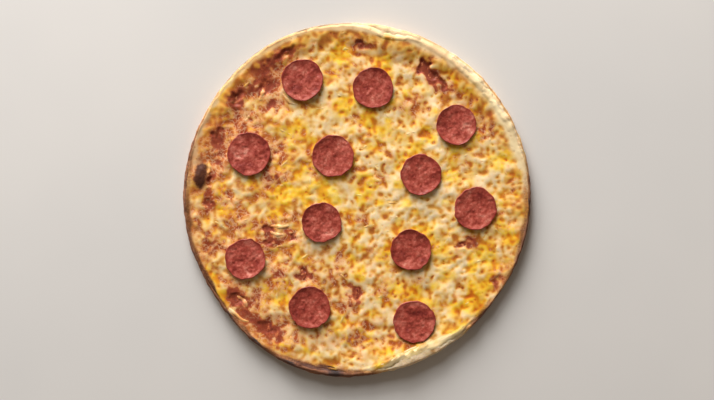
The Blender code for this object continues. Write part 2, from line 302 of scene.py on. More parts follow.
BROWN_SWELLS = (
    (164, 9, 0.42),
    (183, 14, 0.56),
    (212, 20, 0.84),
    (240, 14, 0.50),
    (257, 9, 1.00),
    (272, 9, 0.55),
    (292, 10, 0.04),
    (317, 10, 0.60),
    (335, 10, 0.36),
    (349, 11, 0.60),
    (4, 8, 0.34),
)
BROWN_RAGGED = 0.0015
PUFF_SWELLS = (
    (284, 26, 0.9),
    (45, 40, 0.25),
)
# How far inside the outline the pale dough shows: angle, distance
PALE_REACH = (
    (0, 0.0),
    (8, 0.0070),
    (15, 0.0115),
    (45, 0.0108),
    (62, 0.0108),
    (75, 0.0094),
    (90, 0.0080),
    (105, 0.0052),
    (120, 0.0062),
    (135, 0.0052),
    (150, 0.0044),
    (165, 0.0060),
    (174, 0.0),
    (276, 0.0),
    (282, 0.0105),
    (290, 0.0120),
    (300, 0.0100),
    (308, 0.0050),
    (316, 0.0),
    (360, 0.0),
)
# Lightness of the cheese's film on the pale dough by angle, partly its own tone and partly
# painted light and shade, lower where the rim faces the light and higher where it slopes away:
# angle, lightness
PALE_LIGHT_AND_SHADE_TONES = (
    (0, 0.60),
    (15, 0.76),
    (30, 0.84),
    (45, 0.82),
    (54, 0.46),
    (62, 0.34),
    (70, 0.58),
    (78, 0.72),
    (90, 0.50),
    (105, 0.44),
    (120, 0.66),
    (135, 0.66),
    (150, 0.30),
    (165, 0.22),
    (276, 0.64),
    (285, 0.94),
    (300, 0.98),
    (312, 0.76),
    (360, 0.60),
)

# Camera and light
VIEW_WIDTH = 0.6230
OUTLINE_HEIGHT = 0.0060
STAGE_WIDTH = 6.0
LENS = 70.0
SENSOR = 36.0
# Lights: name, azimuth, elevation, distance, size, power
LIGHTS = (
    ("key", 110, 28, 2.6, 2.0, 70.0),
    ("low", 104, 13.5, 3.2, 1.9, 180.0),
)
SKY_STRENGTH = 0.17
SKY_COLOUR = (1.0, 0.85, 0.70, 1.0)
SUN_COLOUR = (0.985, 0.99, 1.0)


def srgb(red, green, blue):
    """Linear colour of a screen colour given from 0 to 255."""
    values = []
    for value in (red, green, blue):
        share = value / 255.0
        values.append(share / 12.92 if share <= 0.04045 else ((share + 0.055) / 1.055) ** 2.4)
    return (*values, 1.0)


# Shape of the crust, repeated from the model's source on whole arrays

def swell(angle, swells):
    """Sum of bell-shaped swells round the pizza: middle, spread, amount."""
    total = np.zeros_like(angle)
    for middle, spread, amount in swells:
        away = (angle - middle + 180.0) % 360.0 - 180.0
        total += amount * np.exp(-(away / spread) ** 2)
    return total


def capped(angle, swells):
    """Sum of swells, at most 1."""
    return np.minimum(swell(angle, swells), 1.0)


def spot(radius, angle):
    """Places x and y of points from their radius and angle."""
    turn = np.radians(angle)
    return radius * np.cos(turn), radius * np.sin(turn)


def outline_radius(angle):
    """Radius of the uneven outline."""
    return PIZZA_RADIUS + swell(angle, OUTLINE_SWELLS)


def rim_width(angle):
    """Width of the rim, from the toppings' edge to the outline."""
    return np.maximum(RIM_WIDTH_LEAST, RIM_WIDTH + swell(angle, RIM_WIDTH_SWELLS))


def topping_radius(angle):
    """Radius at which the rim starts."""
    return outline_radius(angle) - rim_width(angle)


def stretched(radius, angle):
    """Radius of a point of the plain round pizza on the uneven one."""
    inner = radius * topping_radius(angle) / TOPPING_RADIUS
    share = (radius - TOPPING_RADIUS) / (PIZZA_RADIUS - TOPPING_RADIUS)
    outer = topping_radius(angle) + share * rim_width(angle)
    return np.where(radius <= TOPPING_RADIUS, inner, outer)


def lifted(height, angle):
    """Height of a point of the plain crust with the rim's swells."""
    share = np.clip((height - FLOOR) / (RIM_HEIGHT - FLOOR), 0.0, 1.0)
    return height + share * swell(angle, RIM_HEIGHT_SWELLS)


def smoothed(line):
    """A line of points with its corners cut three times."""
    points = np.array(line)
    for _ in range(3):
        first = points[:-1]
        second = points[1:]
        cuts = np.empty((2 * len(first), 2))
        cuts[0::2] = 0.75 * first + 0.25 * second
        cuts[1::2] = 0.25 * first + 0.75 * second
        points = np.concatenate((points[:1], cuts, points[-1:]))
    return points


CRUST_LINE = smoothed(TOP_LINE[1:] + UNDER_LINE)
OUTERMOST = int(np.argmax(CRUST_LINE[:, 0]))


def top_height(radius):
    """Height of the plain crust's top."""
    return np.interp(radius, CRUST_LINE[:OUTERMOST, 0], CRUST_LINE[:OUTERMOST, 1])


def by_angle(angle, table):
    """Value at angles, read from a table of (angle, value)."""
    places, values = zip(*table)
    return np.interp(angle, places, values)


def pale_share(angle, to_edge):
    """How much of the pale dough shows through, by distance inside the outline."""
    reach = by_angle(angle, PALE_REACH)
    return smooth_step(1.30 * reach + 0.0001, 0.72 * reach, to_edge)


def ragged(x, y, to_edge):
    """Distances inside the outline, made uneven for the edge of the browning."""
    return to_edge + BROWN_RAGGED * bumps(x, y, 0.0, 0.0075, 17)


def browning(angle, to_edge):
    """Browning of the outermost crust, by distance inside the outline."""
    width = 0.0036 + swell(angle, BROWN_WIDTHS)
    return swell(angle, BROWN_SWELLS) * smooth_step(1.35 * width, 0.60 * width, to_edge)


def crust_fill(nominal, angle):
    """How much the broad stretches of the rim are filled up on their inner slope."""
    rise = smooth_step(SLOPE_RADIUS - 0.0040, TOPPING_RADIUS, nominal)
    fall = smooth_step(TOPPING_RADIUS + 0.0034, TOPPING_RADIUS + 0.0004, nominal)
    broad = capped(angle, BROAD_SWELLS)
    crest = smooth_step(TOPPING_RADIUS, TOPPING_RADIUS + 0.0026, nominal)
    return broad * (BROAD_LIFT * rise * fall - BROAD_DROP * crest)


def crust_radius(nominal, angle):
    """Radius of a plain point of the crust's top, whose outer edge is blunt in places."""
    outward = np.clip((nominal - CREST_RADIUS) / (PIZZA_RADIUS - CREST_RADIUS), 0.0, 1.0)
    blunt = outward ** (1.0 - BLUNT_MOST * capped(angle, BLUNT_SWELLS))
    moved = CREST_RADIUS + blunt * (PIZZA_RADIUS - CREST_RADIUS)
    return stretched(np.where(nominal > CREST_RADIUS, moved, nominal), angle)


def crust_top(nominal, angle):
    """Height of the crust's plain top at a plain radius."""
    return lifted(top_height(nominal), angle) + crust_fill(nominal, angle)


def unevenness(x, y, length, layer):
    """The model's own smooth noise, at every point of two arrays."""
    flat = [
        1.6 * noise.noise(Vector((a / length, b / length, layer)))
        for a, b in zip(np.ravel(x).tolist(), np.ravel(y).tolist())
    ]
    return np.array(flat).reshape(np.shape(x))


def outline_middle():
    """Middle of the box round the outline, which the model puts on the origin."""
    angle = np.arange(0.0, 360.0, 1.0)
    x, y = spot(outline_radius(angle), angle)
    return 0.5 * (x.min() + x.max()), 0.5 * (y.min() + y.max())


MIDDLE_X, MIDDLE_Y = outline_middle()


# Noise and rasters

LATTICE_SIDE = 32
LATTICE = np.random.default_rng(5).uniform(-1.0, 1.0, (LATTICE_SIDE,) * 3)


def bumps(x, y, z, length, seed):
    """Smooth noise between -1 and 1 with bumps of a given length, on arrays."""
    corner = []
    share = []
    for axis, values in enumerate((x, y, z)):
        place = np.asarray(values, dtype=float) / length + seed * (3.17 + 1.93 * axis)
        cell = np.floor(place)
        part = place - cell
        corner.append(cell.astype(int))
        share.append(part * part * part * (part * (part * 6.0 - 15.0) + 10.0))
    total = 0.0
    for steps in itertools.product((0, 1), repeat=3):
        weight = math.prod(part if step else 1.0 - part for part, step in zip(share, steps))
        place = tuple((cell + step) % LATTICE_SIDE for cell, step in zip(corner, steps))
        total = total + weight * LATTICE[place]
    return 1.4 * total


def smooth_step(low, high, values):
    """Smooth rise from 0 at low to 1 at high, and flat beyond them."""
    share = np.clip((values - low) / (high - low), 0.0, 1.0)
    return share * share * (3.0 - 2.0 * share)


def patches(x, y, places, grow=1.0):
    """Sum of soft oval spots, in the model's own places before centring."""
    total = np.zeros_like(x)
    for place_x, place_y, length, width, turn, strength in places:
        cosine = math.cos(math.radians(turn))
        sine = math.sin(math.radians(turn))
        away_x = x - place_x
        away_y = y - place_y
        along = (away_x * cosine + away_y * sine) / (0.5 * length * grow)
        across = (away_y * cosine - away_x * sine) / (0.5 * width * grow)
        total += strength * np.exp(-(along ** 2 + across ** 2) ** 1.5)
    return total


def warped(x, y):
    """Places shifted by noise, so that spots drawn there have ragged edges."""
    shift_x = 0.0026 * bumps(x, y, 0.0, 0.0080, 51) + 0.0023 * bumps(x, y, 0.0, 0.0036, 53)
    shift_y = 0.0026 * bumps(x, y, 0.0, 0.0080, 52) + 0.0023 * bumps(x, y, 0.0, 0.0036, 54)
    return x + shift_x, y + shift_y


def sample(field, x, y):
    """Value of a raster at points, blended between its cells."""
    place_x = np.clip((x + HALF_WIDTH) / PITCH, 0.0, FIELD_SIDE - 1.001)
    place_y = np.clip((y + HALF_WIDTH) / PITCH, 0.0, FIELD_SIDE - 1.001)
    cell_x = place_x.astype(int)
    cell_y = place_y.astype(int)
    share_x = place_x - cell_x
    share_y = place_y - cell_y
    low = field[cell_x, cell_y] * (1 - share_y) + field[cell_x, cell_y + 1] * share_y
    high = field[cell_x + 1, cell_y] * (1 - share_y) + field[cell_x + 1, cell_y + 1] * share_y
    return low * (1 - share_x) + high * share_x


def cells(low, high, reach):
    """Cells of a raster from low to high and some reach more, and their places."""
    first = max(int((low - reach + HALF_WIDTH) / PITCH), 0)
    last = min(int((high + reach + HALF_WIDTH) / PITCH) + 2, FIELD_SIDE)
    return slice(first, last), np.arange(first, last) * PITCH - HALF_WIDTH


def blurred(field, length):
    """Raster softened by a bell of the given standard length."""
    spread = length / PITCH
    reach = int(math.ceil(3 * spread))
    weights = np.exp(-0.5 * (np.arange(-reach, reach + 1) / spread) ** 2)
    weights /= weights.sum()
    result = field
    for axis in (0, 1):
        padding = [(0, 0), (0, 0)]
        padding[axis] = (reach, reach)
        padded = np.pad(result, padding, mode="edge")
        result = sum(
            weight * np.take(padded, range(step, step + FIELD_SIDE), axis=axis)
            for step, weight in enumerate(weights)
        )
    return result


def slice_distance(x, y):
    """Distance outside the nearest slice's edge, negative under a slice."""
    nearest = np.full(np.shape(x), 1.0)
    for centre_x, centre_y, radius in PEPPERONI:
        nearest = np.minimum(nearest, np.hypot(x - centre_x, y - centre_y) - radius)
    return nearest


# Shreds of cheese, drawn at random and melted together on a raster

SHEET_STRANDS = 6200
SHEET_SEED = 23
SHEET_LENGTHS = (0.003, 0.010)
SHEET_WIDTHS = (0.0028, 0.0046)
NOODLE_STRANDS = 1300
NOODLE_SEED = 29
NOODLE_LENGTHS = (0.006, 0.014)
NOODLE_WIDTHS = (0.0026, 0.0038)
SHEET_STRENGTH = 0.75
NOODLE_STRENGTH = 0.8
NOODLE_SHARE = 0.20
WHOLE_STRENGTH = 0.5
WHOLE_WIDTH = 0.0046
MELT_LENGTH = 0.0008
PIT_MELT_LENGTH = 0.0006
BROAD_LENGTH = 0.0035
STRAND_BEND = 70
STRAND_POINTS = 5
PIT_COUNT = 2300
PIT_SEED = 41
PIT_SPACING = 0.0041
PIT_RADII = (0.0009, 0.0018)


def drawn_place(draw, reach):
    """A random place within a reach of the middle, evenly spread over the disc."""
    away = reach * math.sqrt(draw.random())
    around = draw.uniform(0.0, 2.0 * math.pi)
    return away * math.cos(around), away * math.sin(around)


def strand_path(x, y, turn, length, bend, count):
    """Points along a bent strand, as two arrays."""
    run = np.linspace(-0.5, 0.5, count) * length
    if abs(bend) < 0.05:
        local_x = run
        local_y = np.zeros(count)
    else:
        arc = length / bend
        local_x = arc * np.sin(run / arc)
        local_y = arc - arc * np.cos(run / arc)
    return (
        x + local_x * math.cos(turn) - local_y * math.sin(turn),
        y + local_x * math.sin(turn) + local_y * math.cos(turn),
    )


def cheese_share(x, y):
    """How thickly the shreds lie, from 0 on bare sauce to 1."""
    bare = patches(*warped(x, y), BARE_PATCHES, 1.1)
    bare += 0.75 * patches(*warped(x, y), THIN_PATCHES, 1.0)
    cream = patches(x, y, CREAM_PATCHES)
    left = smooth_step(0.02, -0.12, x)
    share = 0.82 + 0.3 * cream - 0.30 * left
    share += 0.20 * bumps(x, y, 0.0, 0.012, 1)
    return np.clip(share, 0.1, 1.0) * np.clip(1.0 - 0.78 * bare, 0.0, 1.0)


def draw_strands(count, seed, lengths, widths):
    """Strands as (x, y, turn, length, bend, width), kept where cheese lies."""
    draw = np.random.default_rng(seed)
    away = PIZZA_RADIUS * np.sqrt(draw.random(count))
    around = draw.uniform(0.0, 2.0 * math.pi, count)
    x = away * np.cos(around)
    y = away * np.sin(around)
    turn = draw.uniform(0.0, math.pi, count)
    length = draw.uniform(*lengths, count)
    bend = np.radians(draw.uniform(-STRAND_BEND, STRAND_BEND, count))
    width = draw.uniform(*widths, count)
    step_x = 0.35 * length * np.cos(turn)
    step_y = 0.35 * length * np.sin(turn)
    share = np.minimum(
        cheese_share(x, y),
        np.minimum(cheese_share(x + step_x, y + step_y), cheese_share(x - step_x, y - step_y)),
    )
    inside = away < topping_radius(np.degrees(around)) - 0.001
    kept = (draw.random(count) < share) & inside
    return list(zip(x[kept], y[kept], turn[kept], length[kept], bend[kept], width[kept]))


def lay_strands(field, strands, strength):
    """Melt strands into a raster whose values rise towards 1."""
    for x, y, turn, length, bend, width in strands:
        path_x, path_y = strand_path(x, y, turn, length, bend, STRAND_POINTS)
        reach = 0.5 * width
        columns, cell_x = cells(path_x.min(), path_x.max(), reach)
        rows, cell_y = cells(path_y.min(), path_y.max(), reach)
        cell_x = cell_x[:, None]
        nearest = np.full((cell_x.size, cell_y.size), 1.0)
        for step in range(STRAND_POINTS - 1):
            run_x = path_x[step + 1] - path_x[step]
            run_y = path_y[step + 1] - path_y[step]
            share = (cell_x - path_x[step]) * run_x + (cell_y - path_y[step]) * run_y
            share = np.clip(share / (run_x ** 2 + run_y ** 2), 0.0, 1.0)
            away_x = cell_x - path_x[step] - share * run_x
            away_y = cell_y - path_y[step] - share * run_y
            nearest = np.minimum(nearest, away_x ** 2 + away_y ** 2)
        ridge = strength * np.clip(1.0 - nearest / reach ** 2, 0.0, 1.0)
        field[columns, rows] = 1.0 - (1.0 - field[columns, rows]) * (1.0 - ridge)


def press_pits(field):
    """Press small scattered pits into a raster."""
    draw = np.random.default_rng(PIT_SEED)
    placed = np.empty((0, 2))
    for _ in range(3 * PIT_COUNT):
        if len(placed) == PIT_COUNT:
            break
        x, y = drawn_place(draw, PIZZA_RADIUS)
        if len(placed) and ((placed - (x, y)) ** 2).sum(axis=1).min() < PIT_SPACING ** 2:
            continue
        placed = np.concatenate((placed, [(x, y)]))
        radius = draw.uniform(*PIT_RADII)
        stretch = draw.uniform(1.0, 2.0)
        turn = draw.uniform(0.0, math.pi)
        depth = draw.uniform(0.25, 1.0)
        reach = 2.5 * radius * stretch
        columns, cell_x = cells(x, x, reach)
        rows, cell_y = cells(y, y, reach)
        away_x = (cell_x - x)[:, None]
        away_y = cell_y - y
        along = (away_x * math.cos(turn) + away_y * math.sin(turn)) / (radius * stretch)
        across = (away_y * math.cos(turn) - away_x * math.sin(turn)) / radius
        field[columns, rows] *= 1.0 - depth * np.exp(-along ** 2 - across ** 2)


def ranked(values, inside):
    """Values spread evenly from 0 to 1 by their order inside a mask."""
    known = np.sort(values[inside])
    return np.searchsorted(known, values) / len(known)


def cheese_fields():
    """Rasters of the cheese's relief and of its evenly spread lightness, which is lower in the
    relief's pits and hollows, partly as painted shade.
    """
    axis = np.linspace(-HALF_WIDTH, HALF_WIDTH, FIELD_SIDE)
    x, y = np.meshgrid(axis, axis, indexing="ij")
    relief = np.zeros((FIELD_SIDE, FIELD_SIDE))
    sheet = draw_strands(SHEET_STRANDS, SHEET_SEED, SHEET_LENGTHS, SHEET_WIDTHS)
    lay_strands(relief, sheet, SHEET_STRENGTH)
    noodles = draw_strands(NOODLE_STRANDS, NOODLE_SEED, NOODLE_LENGTHS, NOODLE_WIDTHS)
    lifted_strands = np.zeros((FIELD_SIDE, FIELD_SIDE))
    lay_strands(lifted_strands, noodles, NOODLE_STRENGTH)
    kept_whole = [(*place, WHOLE_WIDTH) for place in all_shreds()]
    lay_strands(relief, kept_whole, WHOLE_STRENGTH)
    relief += NOODLE_SHARE * (lifted_strands - relief)
    relief = blurred(relief, MELT_LENGTH)
    press_pits(relief)
    relief = blurred(relief, PIT_MELT_LENGTH)
    inside = np.hypot(x, y) < PIZZA_RADIUS
    # Lightness follows the relief: darker in pits and hollows, partly the oil and sauce there and
    # partly painted shade
    light = 0.6 * relief + 0.9 * (relief - blurred(relief, BROAD_LENGTH))
    light += 0.07 * bumps(x, y, 0.0, 0.0085, 8) + 0.05 * bumps(x, y, 0.0, 0.0045, 12)
    return relief, ranked(light, inside)


def puffiness(angle):
    """How much the dough has puffed up, from 0.25 to 1."""
    return np.minimum(1.0, 0.25 + swell(angle, PUFF_SWELLS))


def crust_lumps(x, y, up, nominal, angle):
    """Lumps on the rim's top, which the cheese that lies on it follows."""
    rim = smooth_step(TOPPING_RADIUS - 0.001, TOPPING_RADIUS + 0.002, nominal)
    lumps = 0.0006 * unevenness(x, y, 0.016, 3.0)
    lumps += 0.00030 * bumps(x, y, up, 0.0055, 2) + 0.00013 * bumps(x, y, up, 0.0022, 3)
    lumps += 0.00060 * puffiness(angle) * bumps(x, y, up, 0.0105, 5)
    return rim * lumps


# Meshes

def mesh_object(name, points, faces, material, replaced, values=None):
    """New piece from arrays, with per-point values for its material."""
    mesh = bpy.data.meshes.new(name)
    mesh.from_pydata(points.tolist(), [], faces)
    for key, array in (values or {}).items():
        layer = mesh.attributes.new(key, "FLOAT", "POINT")
        layer.data.foreach_set("value", np.asarray(array, dtype=np.float32))
    mesh.shade_smooth()
    mesh.materials.append(material)
    made = bpy.data.objects.new(name, mesh)
    bpy.context.scene.collection.objects.link(made)
    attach(made, "root")
    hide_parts(replaced)


def ring_faces(start, rings, count, outward=True):
    """Quads between closed rings of points that follow one another."""
    faces = []
    for first in range(start, start + (rings - 1) * count, count):
        second = first + count
        for step in range(count):
            after = (step + 1) % count
            quad = (first + step, second + step, second + after, first + after)
            faces.append(quad if outward else (quad[0], *quad[:0:-1]))
    return faces


def disc_grid(side):
    """Square grid bent into a disc: radii from 0 to 1, angles, quads and edge loop."""
    axis = np.linspace(-1.0, 1.0, side + 1)
    a, b = np.meshgrid(axis, axis, indexing="ij")
    radius = np.maximum(np.abs(a), np.abs(b))
    wide = np.abs(a) >= np.abs(b)
    quarter = math.pi / 4
    with np.errstate(divide="ignore", invalid="ignore"):
        turn = np.where(
            wide,
            quarter * np.where(a != 0, b / a, 0.0) + np.where(a < 0, math.pi, 0.0),
            2 * quarter - quarter * np.where(b != 0, a / b, 0.0) + np.where(b < 0, math.pi, 0.0),
        )
    angle = np.degrees(turn) % 360.0
    index = np.arange((side + 1) ** 2).reshape(side + 1, side + 1)
    quads = np.stack(
        (index[:-1, :-1], index[1:, :-1], index[1:, 1:], index[:-1, 1:]), axis=-1
    ).reshape(-1, 4)
    loop = np.concatenate((
        index[:-1, 0], index[-1, :-1], index[:0:-1, -1], index[0, :0:-1],
    ))
    return radius.ravel(), angle.ravel(), quads.tolist(), loop.tolist()


def close_below(points, faces, loop, rings):
    """Close a sheet with rings of points below its edge loop and one flat face."""
    count = len(loop)
    last = loop
    start = len(points)
    for _ in rings:
        now = list(range(start, start + count))
        for step in range(count):
            after = (step + 1) % count
            faces.append((last[after], last[step], now[step], now[after]))
        last = now
        start += count
    faces.append(tuple(reversed(last)))
    return np.concatenate([points] + list(rings)), faces


def at(radius, angle, height):
    """Points of the centred model from radius, angle and height."""
    x, y = spot(radius, angle)
    return np.stack((x - MIDDLE_X, y - MIDDLE_Y, np.broadcast_to(height, x.shape)), axis=-1)


def crust_ground(nominal, angle):
    """Height of the crust's top with its lumps, at a plain radius."""
    x, y = spot(crust_radius(nominal, angle), angle)
    plain_top = crust_top(nominal, angle)
    return plain_top + crust_lumps(x, y, plain_top, nominal, angle)


def layer_ring(angle, nominal, above):
    """Ring of a layer's underside, on the crust's own top plus a distance."""
    nominal = np.broadcast_to(nominal, angle.shape)
    return at(crust_radius(nominal, angle), angle, crust_ground(nominal, angle) + above)


# Materials

def new_material(name):
    """New material, its node tree and its shader."""
    made = bpy.data.materials.new(name)
    made.use_nodes = True
    tree = made.node_tree
    tree.nodes.clear()
    out = tree.nodes.new("ShaderNodeOutputMaterial")
    shader = tree.nodes.new("ShaderNodeBsdfPrincipled")
    tree.links.new(shader.outputs["BSDF"], out.inputs["Surface"])
    return made, tree, shader


def feed(source, socket):
    """Join an output to a socket, or set the socket to a constant."""
    if hasattr(source, "is_output"):
        source.id_data.links.new(source, socket)
    else:
        socket.default_value = source


def fill(node, values):
    """Feed several sockets of a node by their names."""
    for name, value in values.items():
        feed(value, node.inputs[name])


def value_node(tree, key):
    """A mesh's own value at every point, by its name."""
    node = tree.nodes.new("ShaderNodeAttribute")
    node.attribute_name = key
    return node.outputs["Fac"]


def noise_texture(tree, length, detail, roughness=0.5, distortion=0.0):
    """Noise texture with bumps of a given length in metres."""
    place = tree.nodes.new("ShaderNodeTexCoord").outputs["Object"]
    node = tree.nodes.new("ShaderNodeTexNoise")
    fill(node, {
        "Vector": place,
        "Scale": 1.0 / length,
        "Detail": detail,
        "Roughness": roughness,
        "Distortion": distortion,
    })
    return node


def noise_node(tree, *settings):
    """Value of a noise texture."""
    return noise_texture(tree, *settings).outputs["Fac"]


def cell_node(tree, length, warp):
    """Distance from the nearest of scattered points, in a warped pattern."""
    place = tree.nodes.new("ShaderNodeTexCoord").outputs["Object"]
    shift = tree.nodes.new("ShaderNodeVectorMath")
    shift.operation = "MULTIPLY_ADD"
    feed(noise_texture(tree, length, 1.0).outputs["Color"], shift.inputs[0])
    feed((warp, warp, warp), shift.inputs[1])
    feed(place, shift.inputs[2])
    node = tree.nodes.new("ShaderNodeTexVoronoi")
    fill(node, {"Vector": shift.outputs["Vector"], "Scale": 1.0 / length})
    return node.outputs["Distance"]


def maths(operation, first, second=0.0, clamp=False):
    node = first.id_data.nodes.new("ShaderNodeMath")
    node.operation = operation
    node.use_clamp = clamp
    feed(first, node.inputs[0])
    feed(second, node.inputs[1])
    return node.outputs[0]


def plus(first, second):
    return maths("ADD", first, second)


def minus(first, second):
    return maths("SUBTRACT", first, second)


def times(first, second):
    return maths("MULTIPLY", first, second)


def swing(source, amount):
    """How far a value is from one half, times an amount."""
    return times(minus(source, 0.5), amount)


def span(source, low, high, to_low=0.0, to_high=1.0):
    """Remap a value with smooth ends."""
    node = source.id_data.nodes.new("ShaderNodeMapRange")
    node.interpolation_type = "SMOOTHSTEP"
    fill(node, {"Value": source, "From Min": low, "From Max": high})
    fill(node, {"To Min": to_low, "To Max": to_high})
    return node.outputs["Result"]


def blend(share, first, second):
    """Mix of two colours."""
    node = share.id_data.nodes.new("ShaderNodeMix")
    node.data_type = "RGBA"
    fill(node, {"Factor": share, "A": first, "B": second})
    return node.outputs["Result"]


def ramp(share, stops):
    """Colour ramp from stops: place, red, green, blue."""
    node = share.id_data.nodes.new("ShaderNodeValToRGB")
    points = node.color_ramp.elements
    while len(points) < len(stops):
        points.new(0.5)
    for point, (place, *colour) in zip(points, stops):
        point.position = place
        point.color = srgb(*colour)
    feed(share, node.inputs["Fac"])
    return node.outputs["Color"]


def bump_node(source, distance):
    """Normal of a surface raised by a value."""
    node = source.id_data.nodes.new("ShaderNodeBump")
    fill(node, {"Height": source, "Distance": distance})
    return node.outputs["Normal"]


def cheese_material(name):
    """Melted cheese: cream on its ridges, golden and stained in its pits, with painted shade in
    the pits as well.
    """
    made, tree, shader = new_material(name)
    fine = noise_node(tree, 0.0013, 3.0, 0.6)
    small = noise_node(tree, 0.0026, 2.0)
    middle = noise_node(tree, 0.0050, 2.0)
    # Small cell-shaped holes, dipped by the bump and darkened: partly the sauce and oil in them,
    # partly painted shade
    hole = span(cell_node(tree, 0.0048, 0.0036), 0.10, 0.34, 1.0, 0.0)
    hole = times(hole, span(middle, 0.34, 0.60))
    light = plus(value_node(tree, "light"), span(fine, 0.3, 0.7, -0.03, 0.03))
    light = minus(light, times(hole, 0.23))
    cream = ramp(light, (
        (0.00, 164, 84, 26),
        (0.15, 199, 125, 40),
        (0.32, 226, 170, 80),
        (0.52, 240, 202, 130),
        (0.75, 244, 214, 160),
        (1.00, 247, 223, 183),
    ))
    yellow = ramp(light, (
        (0.00, 200, 102, 12),
        (0.20, 224, 143, 18),
        (0.45, 240, 185, 38),
        (0.70, 246, 200, 68),
        (1.00, 250, 216, 108),
    ))
    stained = ramp(light, (
        (0.00, 152, 62, 32),
        (0.18, 184, 88, 44),
        (0.38, 211, 126, 68),
        (0.60, 231, 160, 102),
        (0.82, 244, 198, 148),
        (1.00, 249, 218, 176),
    ))
    toasted = ramp(light, (
        (0.00, 172, 88, 34),
        (0.25, 204, 126, 46),
        (0.55, 228, 164, 66),
        (0.80, 240, 188, 92),
        (1.00, 248, 208, 124),
    ))
    soaked = ramp(plus(light, span(fine, 0.3, 0.7, -0.16, 0.16)), (
        (0.00, 144, 62, 38),
        (0.35, 176, 84, 50),
        (0.70, 208, 124, 72),
        (1.00, 232, 168, 116),
    ))
    crusty = ramp(light, (
        (0.00, 190, 146, 98),
        (0.30, 214, 176, 130),
        (0.60, 237, 207, 158),
        (1.00, 255, 234, 184),
    ))
    stain = maths("ADD", value_node(tree, "stain"), span(small, 0.32, 0.68, -0.22, 0.22), True)
    squiggle = maths("ABSOLUTE", minus(noise_node(tree, 0.0036, 1.0), 0.5))
    squiggle = times(span(squiggle, 0.01, 0.10, 0.44, 0.0), span(stain, 0.25, 0.70))
    red = plus(value_node(tree, "red"), span(fine, 0.3, 0.7, -0.12, 0.12))
    dough = value_node(tree, "dough")
    char = times(value_node(tree, "char"), span(fine, 0.35, 0.65, 0.86, 1.14))
    colour = blend(value_node(tree, "yolk"), cream, yellow)
    colour = blend(stain, colour, stained)
    colour = blend(squiggle, colour, srgb(245, 208, 160))
    colour = blend(value_node(tree, "toast"), colour, toasted)
    colour = blend(span(red, 0.28, 0.80), colour, soaked)
    colour = blend(dough, colour, crusty)
    colour = blend(span(char, 0.0, 0.65, 0.0, 0.75), colour, srgb(150, 86, 46))
    colour = blend(span(char, 0.35, 1.0), colour, srgb(84, 42, 24))
    fill(shader, {
        "Base Color": colour,
        "Roughness": plus(span(middle, 0.3, 0.7, 0.42, 0.64), times(dough, 0.3)),
        "Specular IOR Level": 0.3,
        "Subsurface Weight": span(dough, 0.2, 0.9, 0.5, 0.0),
        "Subsurface Radius": (1.0, 0.85, 0.70),
        "Subsurface Scale": 0.0006,
        "Normal": bump_node(minus(times(fine, 0.4), hole), 0.00012),
    })
    return made


def sauce_material():
    """Tomato sauce, wet and mottled."""
    made, tree, shader = new_material("tomato_sauce")
    fine = noise_node(tree, 0.0020, 4.0, 0.6)
    wide = noise_node(tree, 0.009, 2.0)
    colour = ramp(plus(times(fine, 0.7), times(wide, 0.3)), (
        (0.38, 108, 40, 30),
        (0.46, 144, 60, 38),
        (0.53, 174, 82, 48),
        (0.61, 218, 136, 88),
    ))
    fill(shader, {"Base Color": colour, "Roughness": 0.38, "Normal": bump_node(fine, 0.0005)})
    return made


def crust_material():
    """Baked dough, from pale to charred, with cheese on it in places, and painted shade on the
    rim where the light strikes it hardest.
    """
    made, tree, shader = new_material("baked_dough")
    bake = value_node(tree, "bake")
    fine = noise_node(tree, 0.0014, 3.0, 0.6)
    middle = noise_node(tree, 0.006, 3.0, 0.6)
    wide = noise_node(tree, 0.02, 2.0)
    level = plus(plus(plus(bake, swing(middle, 0.30)), swing(fine, 0.10)), swing(wide, 0.12))
    colour = ramp(level, (
        (0.00, 242, 220, 184),
        (0.20, 234, 205, 163),
        (0.38, 224, 184, 128),
        (0.55, 202, 146, 88),
        (0.72, 140, 88, 54),
        (0.88, 82, 48, 34),
        (1.00, 44, 26, 20),
    ))
    golden = ramp(plus(times(bake, 0.4), middle), (
        (0.45, 246, 206, 120),
        (0.60, 232, 174, 76),
        (0.75, 206, 130, 50),
        (0.95, 160, 80, 36),
    ))
    cheesy = times(value_node(tree, "melt"), span(bake, 0.45, 0.75, 1.0, 0.0))
    colour = blend(cheesy, colour, golden)
    # Painted shade: a dull brown laid on the rim where the light strikes it hardest
    lit_rim_shaded = times(value_node(tree, "lit_rim_shade"), span(bake, 0.45, 0.75, 0.92, 0.0))
    colour = blend(lit_rim_shaded, colour, srgb(134, 114, 90))
    fill(shader, {
        "Base Color": colour,
        "Roughness": 0.78,
        "Subsurface Weight": 0.6,
        "Subsurface Radius": (1.0, 0.80, 0.60),
        "Subsurface Scale": 0.0020,
        "Normal": bump_node(plus(times(fine, 0.5), middle), 0.0005),
    })
    return made


